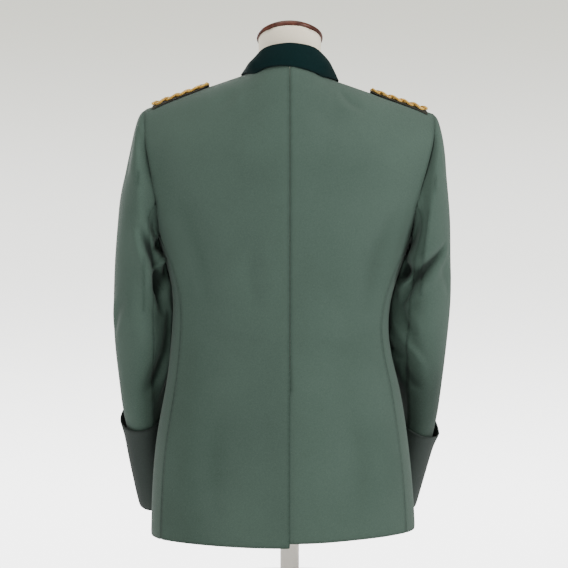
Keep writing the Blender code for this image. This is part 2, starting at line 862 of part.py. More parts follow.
def neckEdge(angle):
    """Point of the panels' neckline at an angle, on the straight lines between their columns."""
    turn = math.degrees(abs(angle))
    face = 1 if turn <= 90 else -1
    turn = turn if turn <= 90 else 180 - turn
    at = max(index for index, start in enumerate(neckTurns[:-1]) if start <= turn + 1e-6)
    side = 1 if angle >= 0 else -1
    ends = []
    for index in (at, at + 1):
        across = neckHalfWidth * math.sin(math.radians(neckTurns[index]))
        y = neckY(face, across)
        ends.append(Vector((side * across, y, bodyHeight(side, face, across, y))))
    share = (turn - neckTurns[at]) / (neckTurns[at + 1] - neckTurns[at])
    return ends[0].lerp(ends[1], share)


def collarLow(angle):
    """Where the lower edge of the fall lies on the body, and the body's normal there."""
    reach = fallBackReach if math.cos(angle) > 0 else fallFrontReach
    turn = math.cos(angle)
    y = neckMiddleY + math.copysign(reach * abs(turn) ** fallPower, turn)
    return surfaceAt(fallHalfWidth * math.sin(angle), y)


def collarSection(angle):
    """Middle line of the collar's wall at an angle: up the stand, over the fold and down the fall."""
    half = collarThickness / 2
    up = Vector((0, 0, 1))
    edge = neckEdge(angle)
    fold = ringPoint(angle, foldHalfWidth, foldBackReach, foldFrontReach)
    fold.z = along(collarSections, "angle", abs(math.degrees(angle)), "foldHeight") - half
    outward = Vector((fold.x, fold.y - neckMiddleY, 0)).normalized()
    frontShare = ease((abs(math.degrees(angle)) - 80) / 40)
    base = edge - outward * (half + standInset) + up * (layGap + standLift + standFrontLift * frontShare)
    low, normal = collarLow(angle)
    low = low + normal * (layGap + half)
    inside = fold - outward * foldRadius - up * foldRadius
    outside = fold + outward * foldRadius - up * foldRadius
    belly = (outside + low) / 2 + outward * fallBelly + up * fallLift
    nearLow = outside.lerp(low, 0.8) + normal * fallEdgeLift
    return [base, (base + inside) / 2, inside, fold, outside, belly, nearLow, low]


def collarTurns():
    """Angles of the collar's sections: on each column of the neckline and halfway between them."""
    back = []
    for low, high in zip(neckTurns, neckTurns[1:]):
        back += [low, (low + high) / 2]
    front = [180 - turn for turn in reversed(back) if turn > 0 and 180 - turn < collarEndTurn]
    right = [turn for turn in back + [90] + front + [collarEndTurn] if turn > 0]
    return [-turn for turn in reversed(right)] + [0] + right


def buildCollar(finish):
    half = collarThickness / 2
    outer = []
    inner = []
    for turn in collarTurns():
        line = collarSection(math.radians(turn))
        fold = line[3]
        outward = Vector((fold.x, fold.y - neckMiddleY, 0)).normalized()
        sideways = Vector((0, 0, 1)).cross(outward)
        outerLine = []
        innerLine = []
        for index, point in enumerate(line):
            ahead = line[min(index + 1, len(line) - 1)]
            behind = line[max(index - 1, 0)]
            normal = sideways.cross(ahead - behind).normalized()
            outerLine.append(point + normal * half)
            innerLine.append(point - normal * half)
        outer.append(outerLine)
        inner.append(innerLine)
    wall("collar", outer, inner, finish)


# Shoulder boards and buttons

def boardRise(share, width):
    """Height of the board's top over its underside, at a share of its length and of its half-width."""
    crown = boardThickness * (1 - 0.35 * abs(width) ** 3) * (0.65 + 0.35 * ease(share / 0.3))
    wave = math.sin(math.pi * share * boardCrossings) * math.cos(math.pi * width)
    return crown + boardRelief * (1 + wave) * (1 - width ** 4)


def boardLiftAt(share):
    """The board's inner end stands a little off the shoulder."""
    return layGap + boardLift * (1 - ease(share / 0.25))


def boardPoint(side, share, width):
    """Point of the shoulder under the board, and its normal."""
    across = boardInnerX + (boardOuterX - boardInnerX) * share
    taper = 0.55 + 0.45 * math.sqrt(min(share / 0.16, 1.0))
    middle = middleY(across, ridgeHeight(side, across))
    return surfaceAt(side * across, middle + boardHalfWidth * taper * width)


def buildBoards(finish, metal):
    for side, word in ((1, "left"), (-1, "right")):
        outer = []
        inner = []
        for row in range(boardRows + 1):
            width = 2 * row / boardRows - 1
            outerLine = []
            innerLine = []
            for column in range(boardColumns + 1):
                share = column / boardColumns
                point, normal = boardPoint(side, share, width)
                lift = boardLiftAt(share)
                innerLine.append(point + normal * lift)
                outerLine.append(point + normal * (lift + boardRise(share, width)))
            outer.append(outerLine)
            inner.append(innerLine)
        wall("board_" + word, outer, inner, finish)
        point, normal = boardPoint(side, boardButtonShare, 0.0)
        top = boardLiftAt(boardButtonShare) + boardThickness * 0.85 + boardRelief * 2 + seamGap
        domedButton("board_button_" + word, point + normal * top, normal, boardButtonDiameter, 0.34, metal)


def domedButton(name, seat, axis, diameter, dome, finish):
    """A button whose dome rises by a share of its radius."""
    radius = diameter / 2
    profile = table("radius height", (
        (radius * 0.80, 0.0),
        (radius, radius * dome * 0.30),
        (radius * 0.88, radius * dome * 0.70),
        (radius * 0.40, radius * dome),
    ))
    turned(name, profile, 12, seat, axis, finish)


def frontMiddle(height):
    """Point of the front's middle line at a height, on the straight lines between its rows."""
    points = [bodyPoint(1, -1, 0.0, lowHeight(1, 0.0, row)) for row in range(lowSteps)]
    points += [highPoint(1, -1, 0.0, row) for row in range(highSteps + 1)]
    above = next(index for index, point in enumerate(points) if point.z > height)
    low = points[above - 1]
    high = points[above]
    point = low.lerp(high, (height - low.z) / (high.z - low.z))
    normal = Vector((0, low.z - high.z, high.y - low.y)).normalized()
    return point, normal


def buildFrontButtons(finish):
    for number in range(frontButtonCount):
        share = number / (frontButtonCount - 1)
        point, normal = frontMiddle(topButtonHeight + (lowButtonHeight - topButtonHeight) * share)
        seat = point + normal * seamGap
        domedButton("front_button_%d" % (number + 1), seat, normal, frontButtonDiameter, 0.58, finish)


# Dress form and stand

def formRing(row):
    """One closed ring of the torso, on the panels' own columns, round by the left side and the front."""
    between = [column / sideColumns for column in range(1, sideColumns)]
    ring = [formPoint(1, 1, share, row) for share in columnShares]
    ring += [formSidePoint(1, share, row) for share in between]
    ring += [formPoint(1, -1, share, row) for share in reversed(columnShares)]
    ring += [formPoint(-1, -1, share, row) for share in columnShares[1:]]
    ring += [formSidePoint(-1, share, row) for share in reversed(between)]
    ring += [formPoint(-1, 1, share, row) for share in reversed(columnShares[1:])]
    return ring


def formRowHeight(row):
    return formBottomHeight + (underarmHeight - formBottomHeight) * row / lowSteps


def formPoint(side, face, share, row):
    deep = formInset(1.0)
    if row <= lowSteps:
        height = formRowHeight(row)
        across = share * (seamAcross(side, height) - deep)
        return bodyPoint(side, face, across, height, deep)
    point = highPoint(side, face, share, row - lowSteps)
    inset = formInset(ridgeHeight(side, abs(point.x)) - point.z)
    point -= bodyNormal(side, face, point) * inset
    point.x -= side * share * formDrawIn
    if row == lowSteps + highSteps and share >= neckShare - 1e-6:
        point.y = middleY(share * shoulderHalfWidth, point.z)
    return point


def formSidePoint(side, share, row):
    deep = formInset(1.0)
    if row <= lowSteps:
        height = formRowHeight(row)
        point, face = sidePoint(side, height, share)
        return point - bodyNormal(side, face, point) * deep
    back = formPoint(side, 1, 1.0, row)
    front = formPoint(side, -1, 1.0, row)
    point = back.lerp(front, share)
    dip = math.sin(math.pi * share) * math.sin(math.pi * (row - lowSteps) / highSteps)
    point.x -= side * formArmDip * dip
    return point


def buildForm(finish):
    shape = bmesh.new()
    rings = []
    for row in range(lowSteps + highSteps + 1):
        rings.append([shape.verts.new(point) for point in formRing(row)])
    count = len(rings[0])
    for low, high in zip(rings, rings[1:]):
        for column in range(count):
            following = (column + 1) % count
            shape.faces.new((low[column], low[following], high[following], high[column]))
    shape.faces.new(rings[0])
    bmesh.ops.remove_doubles(shape, verts=shape.verts, dist=2e-5)
    bmesh.ops.dissolve_degenerate(shape, dist=1e-6, edges=shape.edges)
    buildNeck(shape)
    place("form_torso", shape, finish)


def buildNeck(shape):
    """The neck grows from the torso's open neckline up to a tilted flat top."""
    border = [edge for edge in shape.edges if edge.is_boundary]
    ring = sortedRing(border)
    start = [vert.co.copy() for vert in ring]
    previous = ring
    for level in neckLevels:
        share = level["share"]
        line = []
        for point in start:
            flat = Vector((point.x, point.y - neckMiddleY, 0))
            angle = math.atan2(flat.x, flat.y)
            radius = flat.length + (neckRadius - flat.length) * share
            centreY = neckMiddleY + (neckTopY - neckMiddleY) * share
            top = neckTop(Vector((radius * math.sin(angle), centreY + radius * math.cos(angle), 0)))
            height = point.z + (top.z - point.z) * level["rise"]
            line.append(shape.verts.new((top.x, top.y, height)))
        for index in range(len(line)):
            following = (index + 1) % len(line)
            shape.faces.new((previous[index], previous[following], line[following], line[index]))
        previous = line
    shape.faces.new(previous)


def neckTop(point):
    """The point raised to the neck's flat top, which is tilted down towards the front."""
    point.z = neckTopHeight + math.tan(neckTilt) * (point.y - neckTopY)
    return point


def sortedRing(edges):
    following = {}
    for edge in edges:
        for vert in edge.verts:
            following.setdefault(vert, []).append(edge.other_vert(vert))
    start = edges[0].verts[0]
    ring = [start]
    current = following[start][0]
    while current is not start:
        ring.append(current)
        near = following[current]
        current = near[1] if near[0] is ring[-2] else near[0]
    return ring


def buildStand(wood, paint, cap):
    tilt = Vector((0, -math.sin(neckTilt), math.cos(neckTilt)))
    seat = Vector((0, neckTopY, neckTopHeight)) + tilt * seamGap
    turned("neck_cap", capProfile, 24, seat, tilt, cap)
    up = Vector((0, 0, 1))
    turned("form_pole", poleProfile, 24, Vector((0, 0, baseHeight + seamGap)), up, paint)
    turned("form_base", baseProfile, 32, Vector((0, 0, 0)), up, wood)


def build():
    for old in list(bpy.data.objects):
        bpy.data.objects.remove(old)
    cloth = material("cloth", fieldGrey, 0.95)
    darkCloth = material("collar_cloth", collarGreen, 0.95)
    gold = material("gold_cord", cordGold, 0.45, 0.3)
    metal = material("button_metal", buttonMetal, 0.5, 0.8)
    jersey = material("jersey", formIvory, 0.9)
    capFinish = material("cap_wood", capWood, 0.4)
    wood = material("stand_wood", standWood, 0.45)
    paint = material("pole_paint", poleWhite, 0.4)
    buildBacks(cloth)
    buildSides(cloth)
    buildFronts(cloth)
    buildSleeves(cloth)
    buildCollar(darkCloth)
    buildBoards(gold, metal)
    buildFrontButtons(metal)
    buildForm(jersey)
    buildStand(wood, paint, capFinish)


build()
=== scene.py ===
# Field tunic on a limbless dress form: the cloth, cord, metal, jersey and wood of every piece.
# Metres, +Z up. The back of the tunic looks along +Y and the wearer's left is at +X.

import math

import bmesh
import bpy
import numpy as np
from mathutils import Matrix, Vector
from mathutils.bvhtree import BVHTree
from mathutils.kdtree import KDTree


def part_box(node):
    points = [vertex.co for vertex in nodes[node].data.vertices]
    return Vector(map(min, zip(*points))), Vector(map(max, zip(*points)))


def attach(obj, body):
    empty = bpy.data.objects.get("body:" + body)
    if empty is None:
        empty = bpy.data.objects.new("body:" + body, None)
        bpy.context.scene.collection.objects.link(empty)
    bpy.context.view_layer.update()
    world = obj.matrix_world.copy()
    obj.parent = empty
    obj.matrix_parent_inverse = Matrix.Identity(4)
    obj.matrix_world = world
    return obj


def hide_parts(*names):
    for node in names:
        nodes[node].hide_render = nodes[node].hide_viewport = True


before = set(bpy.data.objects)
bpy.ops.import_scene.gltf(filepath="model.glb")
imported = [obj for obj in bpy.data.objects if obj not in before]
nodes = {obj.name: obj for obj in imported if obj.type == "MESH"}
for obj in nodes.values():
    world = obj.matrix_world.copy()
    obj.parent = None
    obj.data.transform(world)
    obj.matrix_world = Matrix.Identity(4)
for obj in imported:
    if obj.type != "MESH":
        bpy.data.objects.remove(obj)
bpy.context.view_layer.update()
sideOf = {"left": 1, "right": -1}


# Shader groups shared by several finishes

def newGroup(name, inputs, outputs):
    tree = bpy.data.node_groups.new(name, "ShaderNodeTree")
    for label, kind, value in inputs:
        socket = tree.interface.new_socket(name=label, in_out="INPUT", socket_type="NodeSocket" + kind)
        socket.default_value = value
    for label, kind in outputs:
        tree.interface.new_socket(name=label, in_out="OUTPUT", socket_type="NodeSocket" + kind)
    return tree, tree.nodes.new("NodeGroupInput"), tree.nodes.new("NodeGroupOutput")


def mathNode(tree, operation, first, second=None, third=None):
    made = tree.nodes.new("ShaderNodeMath")
    made.operation = operation
    for socket, value in zip(made.inputs, (first, second, third)):
        if value is None:
            continue
        if isinstance(value, (int, float)):
            socket.default_value = value
        else:
            tree.links.new(value, socket)
    return made.outputs[0]


def clampNode(tree, value):
    return mathNode(tree, "MAXIMUM", mathNode(tree, "MINIMUM", value, 1.0), 0.0)


def mixColour(tree, share, first, second):
    made = tree.nodes.new("ShaderNodeMix")
    made.data_type = "RGBA"
    for socket, value in zip((made.inputs[0], made.inputs[6], made.inputs[7]), (share, first, second)):
        if isinstance(value, (int, float, tuple)):
            socket.default_value = value
        else:
            tree.links.new(value, socket)
    return made.outputs[2]


def noiseNode(tree, vector, scale, detail=3.0, rough=0.55):
    made = tree.nodes.new("ShaderNodeTexNoise")
    made.inputs["Scale"].default_value = scale
    made.inputs["Detail"].default_value = detail
    made.inputs["Roughness"].default_value = rough
    tree.links.new(vector, made.inputs["Vector"])
    return made.outputs["Fac"]


def rampNode(tree, value, low, high):
    made = tree.nodes.new("ShaderNodeMapRange")
    made.interpolation_type = "SMOOTHSTEP"
    made.inputs["From Min"].default_value = low
    made.inputs["From Max"].default_value = high
    tree.links.new(value, made.inputs["Value"])
    return made.outputs["Result"]


# How much each part of the wool's pattern counts, from its dark colour at 0 to its light one at 1; the last
# four are painted shade, which darkens the wool near seams, in hollows and on lower parts
woolShares = {"middle": 0.42, "weave": 0.10, "twill": 0.5, "fleck": 0.30, "nap": 0.30, "patch": 0.30,
              "fade": 0.20, "seam": 0.28, "hollowShade": 0.62, "hollowShadeStart": 0.8, "hollowShadeEnd": 2.2}
woolSizes = {"fleck": 1500, "nap": 420, "patch": 9, "fade": 3.2}
# the near-black colour that painted shade reaches in the deepest hollows
hollowShadeColour = (0.007, 0.009, 0.008, 1)


# Woven wool: crossing yarns on the piece's own map, flecks in the yarn, a nap and soft patches, then
# painted shade from an input per point
def makeWoolGroup():
    shares = woolShares
    tree, given, out = newGroup(
        "wovenWool",
        (("Dark", "Color", (0.05, 0.07, 0.06, 1)), ("Light", "Color", (0.15, 0.2, 0.17, 1)),
         ("Yarn", "Float", 0.0011), ("Seam", "Float", 0.0)),
        (("Color", "Color"), ("Roughness", "Float"), ("Height", "Float")))
    cloth = tree.nodes.new("ShaderNodeUVMap")
    cloth.uv_map = "weaveMap"
    parts = tree.nodes.new("ShaderNodeSeparateXYZ")
    tree.links.new(cloth.outputs[0], parts.inputs[0])
    turn = mathNode(tree, "DIVIDE", 6.2832, given.outputs["Yarn"])
    warp = mathNode(tree, "SINE", mathNode(tree, "MULTIPLY", parts.outputs[0], turn))
    weft = mathNode(tree, "SINE", mathNode(tree, "MULTIPLY", parts.outputs[1], turn))
    slope = mathNode(tree, "ADD", parts.outputs[0], mathNode(tree, "MULTIPLY", parts.outputs[1], 0.8))
    twill = mathNode(tree, "SINE", mathNode(tree, "MULTIPLY", slope, mathNode(tree, "MULTIPLY", turn, 0.5)))
    cross = mathNode(tree, "MULTIPLY", warp, weft)
    weave = mathNode(tree, "MULTIPLY_ADD", twill, shares["twill"], cross)
    place = tree.nodes.new("ShaderNodeTexCoord").outputs["Object"]
    fleck = rampNode(tree, noiseNode(tree, place, woolSizes["fleck"], 2.0, 0.7), 0.56, 0.72)
    nap = noiseNode(tree, place, woolSizes["nap"], 3.0, 0.6)
    patch = noiseNode(tree, place, woolSizes["patch"], 3.0, 0.5)
    fade = noiseNode(tree, place, woolSizes["fade"], 1.0, 0.4)
    share = mathNode(tree, "MULTIPLY_ADD", weave, shares["weave"], shares["middle"])
    share = mathNode(tree, "ADD", share, mathNode(tree, "MULTIPLY", fleck, shares["fleck"]))
    for label, value in (("nap", nap), ("patch", patch), ("fade", fade)):
        part = mathNode(tree, "MULTIPLY_ADD", value, shares[label], -shares[label] / 2)
        share = mathNode(tree, "ADD", share, part)
    # painted shade per point darkens the wool, and where it is strongest mixes it towards near black
    seam = mathNode(tree, "MULTIPLY", given.outputs["Seam"], shares["seam"])
    share = clampNode(tree, mathNode(tree, "SUBTRACT", share, seam))
    colour = mixColour(tree, share, given.outputs["Dark"], given.outputs["Light"])
    hollowShade = rampNode(tree, given.outputs["Seam"], shares["hollowShadeStart"], shares["hollowShadeEnd"])
    colour = mixColour(tree, mathNode(tree, "MULTIPLY", hollowShade, shares["hollowShade"]), colour, hollowShadeColour)
    tree.links.new(colour, out.inputs["Color"])
    tree.links.new(mathNode(tree, "MULTIPLY_ADD", nap, -0.12, 0.96), out.inputs["Roughness"])
    height = mathNode(tree, "MULTIPLY_ADD", nap, 0.9, mathNode(tree, "MULTIPLY", weave, 0.35))
    tree.links.new(height, out.inputs["Height"])
    return tree


# Turned and varnished wood: long grain, pores and small wear
def makeWoodGroup():
    tree, given, out = newGroup(
        "varnishedWood",
        (("Dark", "Color", (0.03, 0.01, 0.01, 1)), ("Light", "Color", (0.15, 0.05, 0.03, 1)),
         ("Grain", "Float", 60.0)),
        (("Color", "Color"), ("Roughness", "Float"), ("Height", "Float")))
    place = tree.nodes.new("ShaderNodeTexCoord").outputs["Object"]
    stretch = tree.nodes.new("ShaderNodeMapping")
    stretch.inputs["Scale"].default_value = (1.0, 0.12, 1.0)
    stretch.inputs["Rotation"].default_value = (0.2, 0.1, 0.5)
    tree.links.new(place, stretch.inputs["Vector"])
    grain = tree.nodes.new("ShaderNodeTexNoise")
    grain.inputs["Detail"].default_value = 5.0
    grain.inputs["Distortion"].default_value = 0.6
    tree.links.new(stretch.outputs[0], grain.inputs["Vector"])
    tree.links.new(given.outputs["Grain"], grain.inputs["Scale"])
    pores = rampNode(tree, noiseNode(tree, stretch.outputs[0], 900, 2.0, 0.6), 0.60, 0.70)
    worn = noiseNode(tree, place, 22, 4.0, 0.6)
    share = rampNode(tree, grain.outputs["Fac"], 0.32, 0.68)
    share = mathNode(tree, "MULTIPLY_ADD", worn, 0.30, mathNode(tree, "MULTIPLY", share, 0.75))
    share = clampNode(tree, mathNode(tree, "SUBTRACT", share, mathNode(tree, "MULTIPLY", pores, 0.35)))
    colour = mixColour(tree, share, given.outputs["Dark"], given.outputs["Light"])
    tree.links.new(colour, out.inputs["Color"])
    tree.links.new(mathNode(tree, "MULTIPLY_ADD", worn, 0.25, 0.24), out.inputs["Roughness"])
    tree.links.new(mathNode(tree, "MULTIPLY_ADD", pores, -0.6, grain.outputs["Fac"]), out.inputs["Height"])
    return tree


# A fine even grain for jersey, paint, metal and the floor
def makeGrainGroup():
    tree, given, out = newGroup(
        "fineGrain",
        (("Dark", "Color", (0.4, 0.4, 0.4, 1)), ("Light", "Color", (0.6, 0.6, 0.6, 1)),
         ("Fine", "Float", 500.0), ("Broad", "Float", 8.0), ("Low", "Float", 0.5), ("High", "Float", 0.7)),
        (("Color", "Color"), ("Roughness", "Float"), ("Height", "Float")))
    place = tree.nodes.new("ShaderNodeTexCoord").outputs["Object"]
    values = []
    for label, detail in (("Fine", 2.0), ("Broad", 4.0)):
        noise = tree.nodes.new("ShaderNodeTexNoise")
        noise.inputs["Detail"].default_value = detail
        tree.links.new(place, noise.inputs["Vector"])
        tree.links.new(given.outputs[label], noise.inputs["Scale"])
        values.append(noise.outputs["Fac"])
    share = mathNode(tree, "MULTIPLY_ADD", values[0], 0.35, mathNode(tree, "MULTIPLY", values[1], 0.65))
    tree.links.new(mixColour(tree, rampNode(tree, share, 0.3, 0.7), given.outputs["Dark"],
                             given.outputs["Light"]), out.inputs["Color"])
    span = mathNode(tree, "SUBTRACT", given.outputs["High"], given.outputs["Low"])
    tree.links.new(mathNode(tree, "MULTIPLY_ADD", span, values[1], given.outputs["Low"]),
                   out.inputs["Roughness"])
    tree.links.new(values[0], out.inputs["Height"])
    return tree


woolGroup = makeWoolGroup()
woodGroup = makeWoodGroup()
grainGroup = makeGrainGroup()


def finish(name, group, values, bump, distance, seam=False, glow=None, **plain):
    made = bpy.data.materials.new(name)
    made.use_nodes = True
    tree = made.node_tree
    shader = tree.nodes["Principled BSDF"]
    effect = tree.nodes.new("ShaderNodeGroup")
    effect.node_tree = group
    for label, value in values.items():
        effect.inputs[label].default_value = value
    # the point attribute of painted shade, near seams, in hollows and on lower parts, darkens the wool
    if seam:
        near = tree.nodes.new("ShaderNodeAttribute")
        near.attribute_name = "seamShade"
        tree.links.new(near.outputs["Fac"], effect.inputs["Seam"])
    relief = tree.nodes.new("ShaderNodeBump")
    relief.inputs["Strength"].default_value = bump
    relief.inputs["Distance"].default_value = distance
    tree.links.new(effect.outputs["Color"], shader.inputs["Base Color"])
    tree.links.new(effect.outputs["Roughness"], shader.inputs["Roughness"])
    tree.links.new(effect.outputs["Height"], relief.inputs["Height"])
    tree.links.new(relief.outputs["Normal"], shader.inputs["Normal"])
    for label, value in plain.items():
        shader.inputs[label.replace("_", " ")].default_value = value
    if glow:
        shader.inputs["Emission Color"].default_value = (*glow, 1)
        shader.inputs["Emission Strength"].default_value = 1.0
    return made


# Colours are linear red, green, blue, and the groups' sizes are noise scales or metres of yarn
finishes = {
    "cloth": finish(
        "field_wool", woolGroup,
        {"Dark": (0.026, 0.046, 0.035, 1), "Light": (0.094, 0.146, 0.118, 1), "Yarn": 0.0011},
        0.35, 0.00035, True, Sheen_Weight=0.08, Sheen_Roughness=0.45, Specular_IOR_Level=0.25),
    "cuff": finish(
        "cuff_wool", woolGroup,
        {"Dark": (0.0150, 0.0205, 0.0180, 1), "Light": (0.0520, 0.0660, 0.0600, 1), "Yarn": 0.0011},
        0.35, 0.00035, True, Sheen_Weight=0.05, Sheen_Roughness=0.45, Specular_IOR_Level=0.2),
    "collar": finish(
        "collar_wool", woolGroup,
        {"Dark": (0.0003, 0.0052, 0.0055, 1), "Light": (0.0010, 0.0190, 0.0195, 1), "Yarn": 0.0009},
        0.40, 0.0003, True, Sheen_Weight=0.02, Sheen_Roughness=0.5, Specular_IOR_Level=0.12),
    "board": finish(
        "board_wool", woolGroup,
        {"Dark": (0.012, 0.012, 0.010, 1), "Light": (0.060, 0.055, 0.042, 1), "Yarn": 0.0009},
        0.4, 0.0003, True, Specular_IOR_Level=0.2),
    "cord": finish(
        "gold_cord", grainGroup,
        {"Dark": (0.40, 0.20, 0.018, 1), "Light": (0.84, 0.54, 0.11, 1), "Fine": 1800.0, "Broad": 90.0,
         "Low": 0.38, "High": 0.62},
        0.5, 0.0003, Sheen_Weight=0.3, Sheen_Roughness=0.35),
    "metal": finish(
        "button_metal", grainGroup,
        {"Dark": (0.16, 0.165, 0.155, 1), "Light": (0.34, 0.35, 0.33, 1), "Fine": 1400.0, "Broad": 120.0,
         "Low": 0.34, "High": 0.58},
        0.55, 0.0003, Metallic=0.85),
    "jersey": finish(
        "ivory_jersey", grainGroup,
        {"Dark": (0.88, 0.78, 0.60, 1), "Light": (0.97, 0.89, 0.73, 1), "Fine": 900.0, "Broad": 14.0,
         "Low": 0.85, "High": 0.95},
        0.35, 0.0004, Sheen_Weight=0.1),
    "capWood": finish(
        "cap_wood", woodGroup,
        {"Dark": (0.034, 0.009, 0.006, 1), "Light": (0.13, 0.042, 0.026, 1), "Grain": 70.0},
        0.15, 0.0003, Coat_Weight=0.05, Coat_Roughness=0.3, Specular_IOR_Level=0.2),
    "standWood": finish(
        "stand_wood", woodGroup,
        {"Dark": (0.035, 0.012, 0.008, 1), "Light": (0.15, 0.060, 0.035, 1), "Grain": 34.0},
        0.15, 0.0003, Coat_Weight=0.3, Coat_Roughness=0.25),
    "paint": finish(
        "pole_paint", grainGroup,
        {"Dark": (0.90, 0.90, 0.87, 1), "Light": (0.97, 0.97, 0.95, 1), "Fine": 700.0, "Broad": 20.0,
         "Low": 0.35, "High": 0.50},
        0.1, 0.0002),
    "floor": finish(
        "studio_floor", grainGroup,
        {"Dark": (0.80, 0.80, 0.78, 1), "Light": (0.86, 0.86, 0.84, 1), "Fine": 60.0, "Broad": 1.5,
         "Low": 0.8, "High": 0.9},
        0.05, 0.0005, glow=(0.80, 0.80, 0.78)),
}
print("finishes made")


# Cloth pieces: a smooth shell on each solid's form, then creases moved into it

def addObject(name, mesh, material):
    mesh.materials.clear()
    mesh.materials.append(material)
    made = bpy.data.objects.new(name, mesh)
    bpy.context.scene.collection.objects.link(made)
    return made


def smoothShell(node, levels, rimCrease):
    shape = bmesh.new()
    shape.from_mesh(nodes[node].data)
    bmesh.ops.remove_doubles(shape, verts=shape.verts, dist=1e-6)
    bmesh.ops.join_triangles(shape, faces=shape.faces, angle_face_threshold=math.radians(40),
                             angle_shape_threshold=math.pi)
    crease = shape.edges.layers.float.new("crease_edge")
    rim = []
    for edge in shape.edges:
        edge.smooth = True
        if edge.calc_face_angle(0.0) > math.radians(55):
            edge[crease] = rimCrease
            first, second = (vert.co.copy() for vert in edge.verts)
            steps = max(int((second - first).length / 0.004), 1)
            rim += [first.lerp(second, step / steps) for step in range(steps)]
    mesh = bpy.data.meshes.new(node + "_base")
    shape.to_mesh(mesh)
    shape.free()
    rounded = bpy.data.objects.new(node + "_base", mesh)
    bpy.context.scene.collection.objects.link(rounded)
    surface = rounded.modifiers.new("rounded", "SUBSURF")
    surface.levels = levels
    surface.render_levels = levels
    graph = bpy.context.evaluated_depsgraph_get()
    result = bpy.data.meshes.new_from_object(rounded.evaluated_get(graph))
    bpy.data.objects.remove(rounded)
    bpy.data.meshes.remove(mesh)
    return result, rim


def pointsOf(mesh):
    points = np.empty(len(mesh.vertices) * 3, np.float32)
    mesh.vertices.foreach_get("co", points)
    return points.reshape(-1, 3).astype(float)


def ease(values):
    values = np.clip(values, 0.0, 1.0)
    return values * values * (3 - 2 * values)


def rowsOf(names, *rows):
    columns = names.split()
    return [dict(zip(columns, row)) for row in rows]


# Sum of soft troughs: each runs from one place to another, bowed aside, with a low ridge on both sides
def creaseDepth(across, up, rows):
    total = np.zeros(len(across))
    for row in rows:
        runX = row["endX"] - row["startX"]
        runZ = row["endZ"] - row["startZ"]
        length = math.hypot(runX, runZ)
        share = ((across - row["startX"]) * runX + (up - row["startZ"]) * runZ) / length ** 2
        share = np.clip(share, 0.0, 1.0)
        bow = row["bow"] * 4 * share * (1 - share)
        lineX = row["startX"] + runX * share - runZ / length * bow
        lineZ = row["startZ"] + runZ * share + runX / length * bow
        away = np.hypot(across - lineX, up - lineZ)
        width = row["width"] * (0.6 + 0.4 * np.sin(math.pi * share))
        strength = row["depth"] * np.sin(math.pi * np.clip(share, 0.0, 1.0)) ** 0.7
        total -= strength * np.exp(-(away / width) ** 2)
        total += 0.42 * strength * np.exp(-((away - 1.9 * width) / (1.1 * width)) ** 2)
    return total


# Low unevenness of hanging cloth, from a few long waves
def unevenness(points, amount, size):
    total = np.zeros(len(points))
    for index in range(6):
        turn = index * 2.399
        way = np.array((math.cos(turn), math.sin(turn * 1.7), math.sin(turn))) * 6.2832 / size
        way *= 0.7 + 0.17 * index
        total += np.sin(points @ way + index * 1.3)
    return total * amount / 6


def seamNearness(points, rim, reach):
    tree = KDTree(len(rim))
    for index, place in enumerate(rim):
        tree.insert(place, index)
    tree.balance()
    away = np.array([tree.find(point)[2] for point in points])
    return np.exp(-(away / reach) ** 2)


# The length round an oval by the turn on it, for the map that the weave follows
def ovalLength(turns, halfX, halfY):
    grid = np.linspace(-4 * math.pi, 4 * math.pi, 1601)
    speed = np.hypot(halfX * np.cos(grid), halfY * np.sin(grid))
    length = np.concatenate(([0.0], np.cumsum((speed[1:] + speed[:-1]) / 2 * np.diff(grid))))
    return np.interp(turns, grid, length)


def mapWeave(mesh, turns, lengths, halfX, halfY):
    corners = np.empty(len(mesh.loops), np.int32)
    mesh.loops.foreach_get("vertex_index", corners)
    starts = np.empty(len(mesh.polygons), np.int32)
    mesh.polygons.foreach_get("loop_start", starts)
    counts = np.empty(len(mesh.polygons), np.int32)
    mesh.polygons.foreach_get("loop_total", counts)
    first = np.repeat(turns[corners[starts]], counts)
    turn = first + (turns[corners] - first + math.pi) % (2 * math.pi) - math.pi
    flat = np.stack([ovalLength(turn, halfX, halfY), lengths[corners]], axis=1)
    while mesh.uv_layers:
        mesh.uv_layers.remove(mesh.uv_layers[0])
    layer = mesh.uv_layers.new(name="weaveMap")
    layer.data.foreach_set("uv", flat.astype(np.float32).ravel())


bodyOval = {"halfX": 0.215, "halfY": 0.135, "middleY": 0.0}
collarOval = {"halfX": 0.070, "halfY": 0.085, "middleY": 0.020}


# Turn round the piece's middle, the outward way, and the half-sizes of the oval there
def aroundBody(points, oval):
    x = points[:, 0] / oval["halfX"]
    y = (points[:, 1] - oval["middleY"]) / oval["halfY"]
    ways = np.stack([x / oval["halfX"], y / oval["halfY"], np.zeros(len(points))], axis=1)
    ways /= np.linalg.norm(ways, axis=1)[:, None] + 1e-9
    return np.arctan2(x, y), ways


def sleevePoints(word):
    names = ("top_sleeve_" + word, "under_sleeve_" + word)
    return np.concatenate([pointsOf(nodes[name].data) for name in names])


def sleeveMiddle(word):
    points = sleevePoints(word)
    heights = np.linspace(points[:, 2].min() + 0.02, 0.74, 16)
    middles = []
    for height in heights:
        band = points[np.abs(points[:, 2] - height) < 0.035]
        middles.append((band[:, :2].min(axis=0) + band[:, :2].max(axis=0)) / 2)
    return heights, np.array(middles)


middleLines = {word: sleeveMiddle(word) for word in sideOf}


def aroundSleeve(points, word):
    heights, middles = middleLines[word]
    x = (points[:, 0] - np.interp(points[:, 2], heights, middles[:, 0])) * sideOf[word]
    y = points[:, 1] - np.interp(points[:, 2], heights, middles[:, 1])
    ways = np.stack([x * sideOf[word], y, np.zeros(len(points))], axis=1)
    ways /= np.linalg.norm(ways, axis=1)[:, None] + 1e-9
    return np.arctan2(y, x), ways


# Painted shade of hollows by their depth, and of the lower parts from a height downward
shadeSettings = {"hollowShade": 2.0, "hollowShadeDepth": 0.011, "lowStart": 0.47, "lowRun": 0.14}


